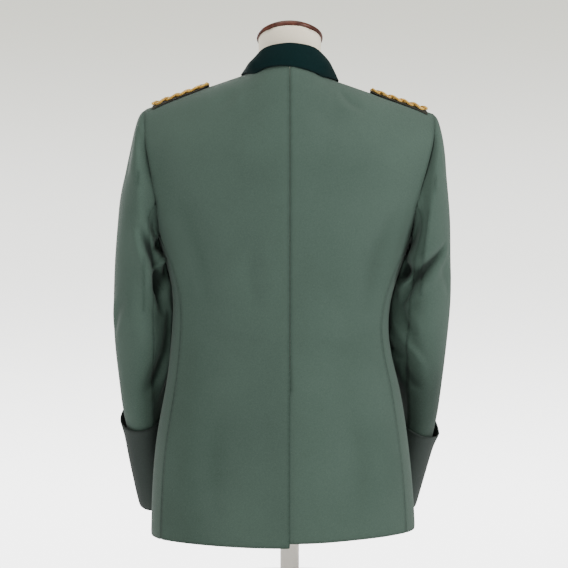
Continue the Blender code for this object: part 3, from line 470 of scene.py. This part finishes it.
def clothPiece(node, settings, points, mesh, rim, turns, ways, depths, material, oval, paintedLowShade=0.0):
    # painted shade, stored per point: darker near the seams, in hollows by their depth, and on the lower
    # parts
    near = seamNearness(points, rim, settings["seamReach"])
    low = ease((shadeSettings["lowStart"] - points[:, 2]) / shadeSettings["lowRun"])
    hollowShade = ease(-depths / shadeSettings["hollowShadeDepth"])
    shades = near + shadeSettings["hollowShade"] * hollowShade + paintedLowShade * low
    depths = depths - settings["seamDip"] * near
    depths += unevenness(points, settings["uneven"], settings["unevenSize"])
    moved = points + ways * depths[:, None]
    mesh.vertices.foreach_set("co", moved.astype(np.float32).ravel())
    shade = mesh.attributes.new("seamShade", "FLOAT", "POINT")
    shade.data.foreach_set("value", shades.astype(np.float32))
    mapWeave(mesh, turns, points[:, 2], *oval)
    mesh.shade_smooth()
    mesh.set_sharp_from_angle(angle=math.radians(48))
    mesh.update()
    piece = addObject("cloth_" + node, mesh, material)
    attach(piece, "root")
    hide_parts(node)
    print(node, "faces", len(mesh.polygons))
    return piece


# Creases of the back, by place across and height. Positive across is the wearer's left.
backCreases = rowsOf(
    "startX startZ endX endZ bow depth width",
    (-0.076, 0.826, -0.118, 0.788, 0.004, 0.0034, 0.0075),
    (0.082, 0.822, 0.120, 0.792, -0.003, 0.0018, 0.0090),
    (0.056, 0.590, 0.052, 0.480, 0.004, 0.0020, 0.0150),
    (0.176, 0.660, 0.128, 0.470, -0.012, 0.0030, 0.0190),
    (-0.172, 0.650, -0.118, 0.455, 0.012, 0.0030, 0.0190),
    (0.150, 0.452, 0.030, 0.436, 0.008, 0.0022, 0.0160),
    (-0.138, 0.446, -0.028, 0.430, -0.008, 0.0022, 0.0160),
    (0.140, 0.408, 0.052, 0.400, -0.006, 0.0014, 0.0140),
    (-0.128, 0.410, -0.050, 0.398, 0.006, 0.0016, 0.0140),
    (0.100, 0.330, 0.112, 0.160, 0.008, 0.0028, 0.0260),
    (-0.096, 0.330, -0.108, 0.160, -0.008, 0.0028, 0.0260),
    (0.020, 0.800, 0.110, 0.742, 0.006, 0.0012, 0.0150),
    (-0.020, 0.800, -0.106, 0.738, -0.006, 0.0012, 0.0150),
)

# Creases of the front, which hangs in the same soft way
frontCreases = rowsOf(
    "startX startZ endX endZ bow depth width",
    (0.186, 0.660, 0.112, 0.470, -0.010, 0.0032, 0.0180),
    (-0.182, 0.650, -0.108, 0.460, 0.010, 0.0032, 0.0180),
    (0.200, 0.715, 0.168, 0.610, -0.006, 0.0036, 0.0120),
    (-0.196, 0.710, -0.162, 0.600, 0.006, 0.0036, 0.0120),
    (0.140, 0.450, 0.034, 0.425, 0.008, 0.0024, 0.0150),
    (-0.130, 0.442, -0.040, 0.418, -0.008, 0.0024, 0.0150),
    (0.090, 0.320, 0.104, 0.160, 0.008, 0.0030, 0.0260),
    (-0.088, 0.320, -0.102, 0.160, -0.008, 0.0030, 0.0260),
    (0.082, 0.800, 0.140, 0.740, 0.006, 0.0026, 0.0110),
    (-0.080, 0.796, -0.136, 0.738, -0.006, 0.0026, 0.0110),
    (0.046, 0.690, 0.092, 0.610, 0.006, 0.0016, 0.0150),
    (-0.048, 0.610, -0.090, 0.540, -0.006, 0.0016, 0.0150),
)


armholeSettings = {"reach": 0.0008, "low": 0.61, "lowFade": 0.03, "innerX": 0.185, "innerFade": 0.015,
                   "edge": 0.0030}


# The edges at the armhole reach for each other, since the smooth shell draws them back a little
def armholeReach(points, rim):
    high = ease((points[:, 2] - armholeSettings["low"]) / armholeSettings["lowFade"])
    high *= ease((np.abs(points[:, 0]) - armholeSettings["innerX"]) / armholeSettings["innerFade"])
    return armholeSettings["reach"] * high * seamNearness(points, rim, armholeSettings["edge"])


bodySettings = {"levels": 3, "rimCrease": 0.85, "seamReach": 0.0035, "seamDip": 0.0006,
                "uneven": 0.0011, "unevenSize": 0.16, "calmX": 0.226, "calmFade": 0.02, "middleX": 0.004}
# each panel's first value is the strength of painted shade on its lower part
bodyPanels = {
    "back_left": {"paintedLowShade": 0.28, "creases": backCreases, "flat": (0.262, 0.745), "area": 0.158},
    "back_right": {"paintedLowShade": 0.0, "creases": backCreases, "flat": (0.285, 0.740), "area": 0.156},
    "side_left": {"paintedLowShade": 0.28, "creases": [], "flat": (0.150, 0.485), "area": 0.058},
    "side_right": {"paintedLowShade": 0.0, "creases": [], "flat": (0.150, 0.475), "area": 0.055},
    "front_left": {"paintedLowShade": 0.2, "creases": frontCreases, "flat": (0.290, 0.705), "area": 0.165},
    "front_right": {"paintedLowShade": 0.0, "creases": frontCreases, "flat": (0.290, 0.695), "area": 0.162},
}
bodyPieces = {}
for node, panel in bodyPanels.items():
    mesh, rim = smoothShell(node, bodySettings["levels"], bodySettings["rimCrease"])
    points = pointsOf(mesh)
    points[:, 0] += np.sign(points[:, 0]) * armholeReach(points, rim)
    turns, ways = aroundBody(points, bodyOval)
    depths = creaseDepth(points[:, 0], points[:, 2], panel["creases"])
    # the armhole and shoulder edges stay put, and so do the seams and buttons in the middle
    aside = np.abs(points[:, 0])
    depths *= ease((bodySettings["calmX"] - aside) / bodySettings["calmFade"])
    depths *= ease((aside - bodySettings["middleX"]) / bodySettings["calmFade"])
    halves = (bodyOval["halfX"], bodyOval["halfY"])
    bodyPieces[node] = clothPiece(node, bodySettings, points, mesh, rim, turns, ways, depths,
                                  finishes["cloth"], halves, panel["paintedLowShade"])
print("body panels made")


# Creases of a sleeve, by turn round it and height: 0 is its outer edge, 90 the back and 180 the inner
# side. Turns are in degrees.
sleeveCreases = {
    "left": rowsOf(
        "startX startZ endX endZ bow depth width",
        (97, 0.612, 132, 0.470, 0.002, 0.0125, 0.0080),
        (158, 0.556, 120, 0.504, -0.004, 0.0135, 0.0135),
        (150, 0.592, 114, 0.574, 0.002, 0.0070, 0.0085),
        (104, 0.534, 150, 0.570, 0.001, -0.0060, 0.0036),
        (146, 0.500, 150, 0.470, 0.000, -0.0030, 0.0040),
        (166, 0.510, 120, 0.330, 0.010, -0.0050, 0.0085),
        (146, 0.478, 104, 0.356, 0.010, 0.0052, 0.0090),
        (86, 0.770, 110, 0.670, 0.004, 0.0045, 0.0110),
        (60, 0.775, 66, 0.690, 0.003, 0.0027, 0.0100),
        (126, 0.408, 92, 0.340, 0.004, 0.0039, 0.0090),
        (70, 0.500, 30, 0.440, -0.004, 0.0030, 0.0110),
        (-170, 0.540, -110, 0.480, -0.005, 0.0084, 0.0085),
        (-176, 0.490, -96, 0.440, -0.005, 0.0066, 0.0085),
        (-160, 0.450, -70, 0.410, 0.004, 0.0048, 0.0085),
        (-96, 0.760, -120, 0.650, -0.004, 0.0051, 0.0110),
        (-70, 0.640, -96, 0.560, 0.004, 0.0033, 0.0120),
        (-130, 0.380, -84, 0.330, 0.004, 0.0036, 0.0090),
    ),
    "right": rowsOf(
        "startX startZ endX endZ bow depth width",
        (170, 0.606, 144, 0.570, 0.004, 0.0105, 0.0075),
        (62, 0.584, 132, 0.486, 0.002, 0.0115, 0.0080),
        (158, 0.536, 100, 0.544, 0.000, 0.0135, 0.0135),
        (164, 0.508, 78, 0.383, 0.006, -0.0052, 0.0065),
        (134, 0.488, 98, 0.436, 0.000, 0.0042, 0.0060),
        (172, 0.448, 118, 0.402, 0.004, 0.0054, 0.0075),
        (146, 0.600, 124, 0.524, 0.005, 0.0054, 0.0100),
        (92, 0.760, 116, 0.655, 0.004, 0.0045, 0.0110),
        (58, 0.768, 60, 0.700, 0.003, 0.0024, 0.0100),
        (120, 0.400, 84, 0.348, 0.004, 0.0039, 0.0090),
        (74, 0.560, 40, 0.500, -0.004, 0.0027, 0.0110),
        (-168, 0.536, -112, 0.482, -0.005, 0.0081, 0.0085),
        (-174, 0.494, -92, 0.448, -0.005, 0.0063, 0.0085),
        (-158, 0.452, -76, 0.404, 0.004, 0.0051, 0.0085),
        (-92, 0.752, -118, 0.648, -0.004, 0.0051, 0.0110),
        (-66, 0.630, -92, 0.556, 0.004, 0.0033, 0.0120),
        (-126, 0.384, -88, 0.326, 0.004, 0.0036, 0.0090),
    ),
}
sleeveSettings = {"levels": 3, "rimCrease": 0.85, "seamReach": 0.0030, "seamDip": 0.0005,
                  "uneven": 0.0009, "unevenSize": 0.11, "radius": 0.052, "top": 0.80, "bottom": 0.30,
                  "endFade": 0.04, "raisedTurn": 135, "raisedFade": 30, "innerTurn": 140, "innerFade": 22}
leanSettings = {"low": 0.38, "high": 0.64, "bands": 27, "endFade": 0.03, "overlap": 0.0060, "most": 0.014,
                "turn": 118, "turnFade": 42, "clear": 0.0012, "sleeveBand": 0.010, "bodyBand": 0.006}
# each sleeve piece's first value is the strength of painted shade on its lower part, strongest on the right
# sleeve
sleevePanels = {
    "top_sleeve_left": {"paintedLowShade": 0.25, "flat": (0.260, 0.660), "area": 0.128},
    "under_sleeve_left": {"paintedLowShade": 0.45, "flat": (0.150, 0.560), "area": 0.050},
    "top_sleeve_right": {"paintedLowShade": 1.3, "flat": (0.260, 0.655), "area": 0.126},
    "under_sleeve_right": {"paintedLowShade": 1.3, "flat": (0.150, 0.560), "area": 0.050},
}


# The creases' places in turn are lengths round a middling radius, and repeat after a full turn
def sleeveDepth(points, turns, word, radius):
    rows = []
    for row in sleeveCreases[word]:
        made = dict(row)
        for key in ("startX", "endX"):
            made[key] = math.radians(row[key]) * radius
        rows.append(made)
    total = creaseDepth(turns * radius, points[:, 2], rows)
    for shift in (-2 * math.pi, 2 * math.pi):
        total += creaseDepth((turns + shift) * radius, points[:, 2], rows)
    # close to the body the cloth may sink but not stand out, and its edge there keeps its place
    degrees = np.degrees(np.abs(turns))
    raised = ease((degrees - sleeveSettings["raisedTurn"]) / sleeveSettings["raisedFade"])
    total = np.where(total > 0, total * (1 - raised), total)
    return total * (1 - ease((degrees - sleeveSettings["innerTurn"]) / sleeveSettings["innerFade"]))


# Where daylight would show between sleeve and body, the sleeve leans on the body as far as it has room
def leanOnBody(points, turns, word):
    side = sideOf[word]
    lean = leanSettings
    names = [start + word for start in ("back_", "side_", "front_")]
    body = np.concatenate([pointsOf(bodyPieces[name].data) for name in names])
    sleeve = sleevePoints(word)
    heights = np.linspace(lean["low"], lean["high"], lean["bands"])
    wanted = []
    for height in heights:
        inner = (sleeve[np.abs(sleeve[:, 2] - height) < lean["sleeveBand"], 0] * side).min()
        outer = (body[np.abs(body[:, 2] - height) < lean["bodyBand"], 0] * side).max()
        wanted.append(min(max(inner - outer + lean["overlap"], 0.0), lean["most"]))
    wanted = np.convolve(np.pad(wanted, 2, mode="edge"), np.ones(5) / 5, mode="valid")
    wanted *= ease((heights - lean["low"]) / lean["endFade"])
    wanted *= ease((lean["high"] - heights) / lean["endFade"])
    graph = bpy.context.evaluated_depsgraph_get()
    trees = [BVHTree.FromObject(bodyPieces[name], graph) for name in names]
    amounts = np.interp(points[:, 2], heights, wanted)
    amounts *= ease((np.degrees(np.abs(turns)) - lean["turn"]) / lean["turnFade"])
    for index in np.nonzero(amounts > 0.0002)[0]:
        start = Vector(points[index])
        for tree in trees:
            away = tree.ray_cast(start, Vector((-side, 0, 0)))[3]
            if away is not None:
                amounts[index] = min(amounts[index], max(away - lean["clear"], 0.0))
    print(word, "sleeve leans in by", round(float(amounts.max()), 4))
    return amounts


for node, panel in sleevePanels.items():
    word = node.split("_")[-1]
    mesh, rim = smoothShell(node, sleeveSettings["levels"], sleeveSettings["rimCrease"])
    points = pointsOf(mesh)
    turns, ways = aroundSleeve(points, word)
    depths = sleeveDepth(points, turns, word, sleeveSettings["radius"])
    depths *= ease((sleeveSettings["top"] - points[:, 2]) / sleeveSettings["endFade"])
    depths *= ease((points[:, 2] - sleeveSettings["bottom"]) / sleeveSettings["endFade"])
    points[:, 0] -= sideOf[word] * (leanOnBody(points, turns, word) + armholeReach(points, rim))
    piece = clothPiece(node, sleeveSettings, points, mesh, rim, turns, ways, depths,
                       finishes["cloth"], (0.046, 0.064), panel["paintedLowShade"])
print("sleeves made")

cuffSettings = {"levels": 2, "rimCrease": 0.80, "seamReach": 0.0030, "seamDip": 0.0002,
                "uneven": 0.0007, "unevenSize": 0.08, "shiftReach": 0.085, "shiftFade": 0.055,
                "widening": 0.12}
cuffPanels = {
    "cuff_left": {"flat": (0.300, 0.150), "area": 0.044, "turns": (0, 180), "rises": (0.0, 0.0)},
    "cuff_right": {"flat": (0.300, 0.150), "area": 0.043, "turns": (0, 45, 90, 130, 165),
                   "rises": (-0.018, -0.011, 0.007, 0.009, 0.0)},
}
for node, panel in cuffPanels.items():
    word = node.split("_")[-1]
    mesh, rim = smoothShell(node, cuffSettings["levels"], cuffSettings["rimCrease"])
    points = pointsOf(mesh)
    turns, ways = aroundSleeve(points, word)
    rise = np.interp(np.degrees(np.abs(turns)), panel["turns"], panel["rises"])
    below = points[:, 2] - points[:, 2].max()
    top = ease((below + cuffSettings["shiftReach"]) / cuffSettings["shiftFade"])
    points[:, 2] += rise * top
    points += ways * (np.maximum(rise, 0.0) * cuffSettings["widening"] * top)[:, None]
    piece = clothPiece(node, cuffSettings, points, mesh, rim, turns, ways, np.zeros(len(points)),
                       finishes["cuff"], (0.036, 0.056))

collarShifts = rowsOf(
    "placeX placeZ reach moveX moveY moveZ",
    (0.0540, 0.8545, 0.0105, 0.0, 0.0024, -0.0048),
    (-0.0505, 0.8475, 0.0085, 0.0, 0.0012, -0.0022),
    (0.0590, 0.8640, 0.0100, 0.0030, 0.0, 0.0012),
    (-0.0540, 0.8640, 0.0140, -0.0042, 0.0, 0.0008),
    (0.0740, 0.8370, 0.0100, -0.0030, 0.0, 0.0),
)
collarSettings = {"levels": 3, "rimCrease": 0.70, "seamReach": 0.0022, "seamDip": 0.0,
                  "uneven": 0.0005, "unevenSize": 0.07, "flat": (0.470, 0.085), "area": 0.032}
mesh, rim = smoothShell("collar", collarSettings["levels"], collarSettings["rimCrease"])
points = pointsOf(mesh)
turns, ways = aroundBody(points, collarOval)
for row in collarShifts:
    away = np.hypot(points[:, 0] - row["placeX"], points[:, 2] - row["placeZ"])
    share = np.exp(-(away / row["reach"]) ** 2) * ease((points[:, 1] + 0.01) / 0.03)
    points += np.outer(share, (row["moveX"], row["moveY"], row["moveZ"]))
piece = clothPiece("collar", collarSettings, points, mesh, rim, turns, ways, np.zeros(len(points)),
                   finishes["collar"], (collarOval["halfX"], collarOval["halfY"]))
print("cuffs and collar made")


# Shoulder boards: twisted cords plaited over a dark cloth base

boardSettings = {"innerX": 0.128, "outerX": 0.221, "halfWidth": 0.0235, "baseThickness": 0.0012,
                 "cordRadius": 0.00165, "plyRadius": 0.00105, "plies": 3, "twist": 0.0062,
                 "reach": 0.0165, "crossings": 1.75, "rise": 0.0016, "pairGap": 0.0017,
                 "button": 0.14, "loopRadius": 0.0105, "loopLift": 0.0040}


def boardTree(word):
    mesh = nodes["board_" + word].data
    return BVHTree.FromPolygons([vert.co for vert in mesh.vertices],
                                [tuple(face.vertices) for face in mesh.polygons])


boardLength = boardSettings["outerX"] - boardSettings["innerX"]


def boardTaper(share):
    return 0.55 + 0.45 * math.sqrt(min(max(share, 0.0) / 0.16, 1.0))


def boardSpot(word, tree, share, width, lift):
    across = boardSettings["innerX"] + boardLength * share
    y = 0.020 - 0.16 * (across - 0.075) + boardSettings["halfWidth"] * boardTaper(share) * width
    low = Vector((sideOf[word] * across, y, 0.70))
    found, normal, index, away = tree.ray_cast(low, Vector((0, 0, 1)))
    if found is None:
        found, normal, index, away = tree.find_nearest(Vector((low.x, low.y, 0.815)))
    return Vector((found.x, y, found.z + lift))


def tubeRing(shape, centre, aside, upward, radius):
    ring = []
    for corner in range(6):
        angle = 2 * math.pi * corner / 6
        ring.append(shape.verts.new(centre + (aside * math.cos(angle) + upward * math.sin(angle)) * radius))
    return [shape.edges.new((ring[i], ring[(i + 1) % 6])) for i in range(6)]


def twistedCord(shape, path, settings, phase):
    # each ply is a thin tube that winds round the cord's own line
    lengths = [0.0]
    for low, high in zip(path, path[1:]):
        lengths.append(lengths[-1] + (high - low).length)
    total = lengths[-1]
    steps = int(total / settings["twist"] * 7)
    for ply in range(settings["plies"]):
        rings = []
        for step in range(steps + 1):
            at = total * step / steps
            index = max(i for i, value in enumerate(lengths[:-1]) if value <= at + 1e-9)
            share = (at - lengths[index]) / max(lengths[index + 1] - lengths[index], 1e-9)
            middle = path[index].lerp(path[index + 1], share)
            ahead = (path[min(index + 2, len(path) - 1)] - path[max(index - 1, 0)]).normalized()
            aside = ahead.cross(Vector((0, 0, 1))).normalized()
            upward = aside.cross(ahead)
            turn = 2 * math.pi * (at / settings["twist"] + ply / settings["plies"]) + phase
            offset = aside * math.cos(turn) + upward * math.sin(turn)
            centre = middle + offset * (settings["cordRadius"] - settings["plyRadius"] * 0.55)
            edges = tubeRing(shape, centre, aside, upward, settings["plyRadius"])
            if rings:
                bmesh.ops.bridge_loops(shape, edges=rings[-1] + edges)
            rings.append(edges)
        for edges in (rings[0], rings[-1]):
            bmesh.ops.edgeloop_fill(shape, edges=edges)


def boardPath(word, tree, phase, pair):
    path = []
    settings = boardSettings
    for step in range(61):
        share = 0.04 + 0.95 * step / 60
        turn = 2 * math.pi * settings["crossings"] * share + phase
        grown = min(1.0, 0.45 + 0.55 * share / 0.22)
        width = settings["reach"] / settings["halfWidth"] * math.sin(turn) * grown
        width += pair * settings["pairGap"] / settings["halfWidth"]
        lift = settings["baseThickness"] + settings["cordRadius"]
        lift += settings["rise"] * (1 + math.sin(2 * turn))
        path.append(boardSpot(word, tree, share, width, lift))
    return path


for word in sideOf:
    tree = boardTree(word)
    base = bmesh.new()
    bmesh.ops.create_grid(base, x_segments=30, y_segments=12, size=1.0)
    for vert in base.verts:
        vert.co = boardSpot(word, tree, 0.01 + 0.98 * (vert.co.x + 1) / 2, vert.co.y * 0.93, 0.0003)
    raised = bmesh.ops.extrude_face_region(base, geom=base.faces[:])["geom"]
    bmesh.ops.translate(base, vec=(0, 0, boardSettings["baseThickness"]),
                        verts=[item for item in raised if isinstance(item, bmesh.types.BMVert)])
    bmesh.ops.recalc_face_normals(base, faces=base.faces)
    mesh = bpy.data.meshes.new("board_base_" + word)
    base.to_mesh(mesh)
    base.free()
    mesh.shade_smooth()
    mesh.set_sharp_from_angle(angle=math.radians(45))
    points = pointsOf(mesh)
    mapWeave(mesh, np.zeros(len(points)), points[:, 0], 1.0, 1.0)
    piece = addObject("board_base_" + word, mesh, finishes["board"])
    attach(piece, "root")

    cords = bmesh.new()
    for strand in range(3):
        phase = 2 * math.pi * strand / 3 + 0.6
        for pair in (-1, 1):
            twistedCord(cords, boardPath(word, tree, phase, pair), boardSettings, strand + pair)
    loop = []
    for step in range(37):
        turn = 2 * math.pi * step / 36
        share = boardSettings["button"] + boardSettings["loopRadius"] * math.cos(turn) / boardLength
        half = boardSettings["halfWidth"] * boardTaper(share)
        width = boardSettings["loopRadius"] * math.sin(turn) / half
        loop.append(boardSpot(word, tree, share, width, boardSettings["loopLift"]))
    twistedCord(cords, loop, boardSettings, 0.0)
    bmesh.ops.recalc_face_normals(cords, faces=cords.faces)
    mesh = bpy.data.meshes.new("board_cords_" + word)
    cords.to_mesh(mesh)
    cords.free()
    mesh.shade_smooth()
    piece = addObject("board_cords_" + word, mesh, finishes["cord"])
    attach(piece, "root")
    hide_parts("board_" + word)
    print("board", word, len(mesh.polygons))


# Turned pieces: a profile of radius and height, spun round its axis and set on its seat

def turnedPiece(name, node, profile, seat, axis, steps, material):
    shape = bmesh.new()
    verts = [shape.verts.new((radius, 0, height)) for radius, height in profile]
    edges = [shape.edges.new(pair) for pair in zip(verts, verts[1:])]
    bmesh.ops.spin(shape, geom=verts + edges, cent=(0, 0, 0), axis=(0, 0, 1), angle=2 * math.pi,
                   steps=steps, use_merge=True)
    bmesh.ops.remove_doubles(shape, verts=shape.verts, dist=1e-6)
    bmesh.ops.recalc_face_normals(shape, faces=shape.faces)
    turn = Vector((0, 0, 1)).rotation_difference(axis).to_matrix().to_4x4()
    bmesh.ops.transform(shape, matrix=Matrix.Translation(seat) @ turn, verts=shape.verts)
    mesh = bpy.data.meshes.new(name)
    shape.to_mesh(mesh)
    shape.free()
    mesh.shade_smooth()
    mesh.set_sharp_from_angle(angle=math.radians(42))
    piece = addObject(name, mesh, material)
    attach(piece, "root")
    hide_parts(node)
    return piece


# Seat and axis of a turned solid, from where its points lie
def seatOf(node, towards):
    points = pointsOf(nodes[node].data)
    middle = (points.min(axis=0) + points.max(axis=0)) / 2
    axis = Vector(np.linalg.svd(points - points.mean(axis=0))[2][2])
    if axis.dot(towards) < 0:
        axis.negate()
    reach = (points - middle) @ np.array(axis)
    return Vector(middle) + axis * float(reach.min()), axis, float(reach.max() - reach.min())


buttonSettings = {"front": 0.0105, "board": 0.0080, "steps": 40}


def buttonProfile(radius, rise):
    return ((0.0, 0.0), (radius * 0.80, 0.0), (radius * 0.97, rise * 0.14), (radius, rise * 0.26),
            (radius * 0.985, rise * 0.38), (radius * 0.93, rise * 0.47), (radius * 0.89, rise * 0.45),
            (radius * 0.86, rise * 0.52), (radius * 0.74, rise * 0.72), (radius * 0.55, rise * 0.88),
            (radius * 0.30, rise * 0.98), (0.0, rise))


for number in range(1, 7):
    node = "front_button_%d" % number
    seat, axis, rise = seatOf(node, Vector((0, -1, 0)))
    turnedPiece("metal_" + node, node, buttonProfile(buttonSettings["front"], rise), seat, axis,
                buttonSettings["steps"], finishes["metal"])
for word in sideOf:
    node = "board_button_" + word
    seat, axis, rise = seatOf(node, Vector((0, 0, 1)))
    turnedPiece("metal_" + node, node, buttonProfile(buttonSettings["board"], rise), seat, axis,
                buttonSettings["steps"], finishes["metal"])

# Worked buttonholes on the left front, beside each button and partly under it
holeSettings = {"length": 0.0125, "halfHeight": 0.0017, "thread": 0.0007, "offset": 0.0085}
holes = bmesh.new()
frontTree = BVHTree.FromObject(bodyPieces["front_left"], bpy.context.evaluated_depsgraph_get())
for number in range(1, 7):
    low, high = (Vector(corner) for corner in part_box("front_button_%d" % number))
    middle = (low + high) / 2
    path = []
    for step in range(25):
        turn = 2 * math.pi * step / 24
        x = holeSettings["offset"] + holeSettings["length"] * (0.5 + 0.5 * math.cos(turn)) - 0.002
        z = middle.z + holeSettings["halfHeight"] * math.sin(turn)
        found = frontTree.ray_cast(Vector((x, -0.3, z)), Vector((0, 1, 0)))[0]
        path.append(found + Vector((0, -holeSettings["thread"] * 0.4, 0)))
    rings = []
    for index, point in enumerate(path[:-1]):
        ahead = (path[(index + 1) % 24] - path[index - 1 if index else 23]).normalized()
        aside = ahead.cross(Vector((0, 1, 0))).normalized()
        outward = aside.cross(ahead)
        rings.append(tubeRing(holes, point, aside, outward, holeSettings["thread"]))
    for low, high in zip(rings, rings[1:] + rings[:1]):
        bmesh.ops.bridge_loops(holes, edges=low + high)
bmesh.ops.recalc_face_normals(holes, faces=holes.faces)
mesh = bpy.data.meshes.new("buttonholes")
holes.to_mesh(mesh)
holes.free()
mesh.shade_smooth()
mapWeave(mesh, np.zeros(len(mesh.vertices)), pointsOf(mesh)[:, 2], 1.0, 1.0)
piece = addObject("buttonholes", mesh, finishes["cloth"])
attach(piece, "root")
print("buttons and buttonholes made")


# Dress form: smooth jersey torso, varnished neck cap, painted pole and wooden base

formSettings = {"levels": 2, "rimCrease": 0.92, "sink": 0.005, "sinkTop": 0.874, "sinkTopFade": 0.012,
                "sinkLow": 0.66, "sinkLowFade": 0.06, "armholeSink": 0.018, "armholeX": 0.150,
                "armholeFade": 0.050, "armholeLow": 0.54}
mesh, rim = smoothShell("form_torso", formSettings["levels"], formSettings["rimCrease"])
points = pointsOf(mesh)
# under the collar and shoulders the form lies a little lower
under = ease((formSettings["sinkTop"] - points[:, 2]) / formSettings["sinkTopFade"])
under *= ease((points[:, 2] - formSettings["sinkLow"]) / formSettings["sinkLowFade"])
points[:, 2] -= formSettings["sink"] * under
# inside the armholes it is narrower, so that no jersey shows at the seam
armhole = ease((np.abs(points[:, 0]) - formSettings["armholeX"]) / formSettings["armholeFade"])
armhole *= ease((points[:, 2] - formSettings["armholeLow"]) / formSettings["sinkLowFade"])
points[:, 0] -= np.sign(points[:, 0]) * formSettings["armholeSink"] * armhole
mesh.vertices.foreach_set("co", points.astype(np.float32).ravel())
mesh.shade_smooth()
mesh.set_sharp_from_angle(angle=math.radians(50))
piece = addObject("jersey_torso", mesh, finishes["jersey"])
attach(piece, "root")
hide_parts("form_torso")

capSettings = {"seatY": 0.012, "seatZ": 0.9105, "tilt": 17.6, "gap": 0.0003, "steps": 64,
               "profile": ((0.0, 0.0), (0.0515, 0.0), (0.0524, 0.0007), (0.0529, 0.0020), (0.0530, 0.0034),
                           (0.0526, 0.0052), (0.0515, 0.0067), (0.0480, 0.0094), (0.0430, 0.0126),
                           (0.0365, 0.0155), (0.0290, 0.0183), (0.0200, 0.0205), (0.0128, 0.0215),
                           (0.0102, 0.0219), (0.0092, 0.0228), (0.0089, 0.0242), (0.0090, 0.0262),
                           (0.0087, 0.0280), (0.0078, 0.0292), (0.0056, 0.0298), (0.0, 0.0300))}
tilt = math.radians(capSettings["tilt"])
axis = Vector((0, -math.sin(tilt), math.cos(tilt)))
seat = Vector((0, capSettings["seatY"], capSettings["seatZ"])) + axis * capSettings["gap"]
turnedPiece("wood_neck_cap", "neck_cap", capSettings["profile"], seat, axis, capSettings["steps"],
            finishes["capWood"])

standSettings = {"steps": 96,
                 "base": ((0.0, 0.0), (0.1570, 0.0), (0.1588, 0.0008), (0.1600, 0.0028), (0.1600, 0.0118),
                          (0.1592, 0.0142), (0.1560, 0.0165), (0.1505, 0.0180), (0.1480, 0.0182),
                          (0.1440, 0.0196), (0.1400, 0.0200), (0.0, 0.0200)),
                 "pole": ((0.0, 0.0), (0.0150, 0.0), (0.0150, 0.1144), (0.0, 0.1144))}
turnedPiece("wood_base", "form_base", standSettings["base"], Vector((0, 0, 0)), Vector((0, 0, 1)),
            standSettings["steps"], finishes["standWood"])
turnedPiece("painted_pole", "form_pole", standSettings["pole"], Vector((0, 0, 0.0203)), Vector((0, 0, 1)),
            standSettings["steps"], finishes["paint"])
print("dress form made")


# Floor, light and camera

floor = bmesh.new()
bmesh.ops.create_circle(floor, cap_ends=True, radius=0.34, segments=96)
mesh = bpy.data.meshes.new("studio_floor")
floor.to_mesh(mesh)
floor.free()
addObject("studio_floor", mesh, finishes["floor"])

lights = (
    {"name": "key", "place": (-2.8, 1.9, 2.1), "size": 1.1, "power": 108},
    {"name": "fill", "place": (2.0, 3.0, 1.6), "size": 2.2, "power": 36},
    {"name": "top", "place": (0.2, 0.2, 3.2), "size": 2.2, "power": 40},
    {"name": "front", "place": (1.6, -2.7, 1.8), "size": 1.8, "power": 80},
)
for light in lights:
    lamp = bpy.data.lights.new(light["name"], "AREA")
    lamp.shape = "DISK"
    lamp.size = light["size"]
    lamp.energy = light["power"]
    lampObject = bpy.data.objects.new(light["name"], lamp)
    lampObject.location = light["place"]
    way = Vector((0, 0, 0.5)) - Vector(light["place"])
    lampObject.rotation_euler = way.to_track_quat("-Z", "Y").to_euler()
    bpy.context.scene.collection.objects.link(lampObject)

# A pale backdrop, white below and a little darker above; as light on the tunic it counts for less
world = bpy.data.worlds.new("studio_air")
world.use_nodes = True
air = world.node_tree
wayUp = air.nodes.new("ShaderNodeSeparateXYZ")
air.links.new(air.nodes.new("ShaderNodeTexCoord").outputs["Generated"], wayUp.inputs[0])
airSettings = {"low": (5.0, 5.0, 5.0, 1), "middle": (2.6, 2.6, 2.5, 1), "high": (1.25, 1.25, 1.10, 1),
               "asLight": 0.28}
tone = mixColour(air, rampNode(air, wayUp.outputs[2], -0.02, 0.20), airSettings["middle"],
                 airSettings["high"])
tone = mixColour(air, rampNode(air, wayUp.outputs[2], -0.16, 0.02), airSettings["low"], tone)
direct = air.nodes.new("ShaderNodeLightPath").outputs["Is Camera Ray"]
seen = mathNode(air, "MULTIPLY_ADD", direct, 1 - airSettings["asLight"], airSettings["asLight"])
air.links.new(tone, air.nodes["Background"].inputs["Color"])
air.links.new(seen, air.nodes["Background"].inputs["Strength"])
bpy.context.scene.world = world

cameraSettings = {"place": (0.0091, 2.435, 0.520), "lens": 95.9}
view = bpy.data.cameras.new("camera")
view.lens = cameraSettings["lens"]
view.sensor_width = 36.0
camera = bpy.data.objects.new("camera", view)
camera.location = cameraSettings["place"]
camera.rotation_euler = (math.radians(90), 0, math.radians(180))
bpy.context.scene.collection.objects.link(camera)
bpy.context.scene.camera = camera
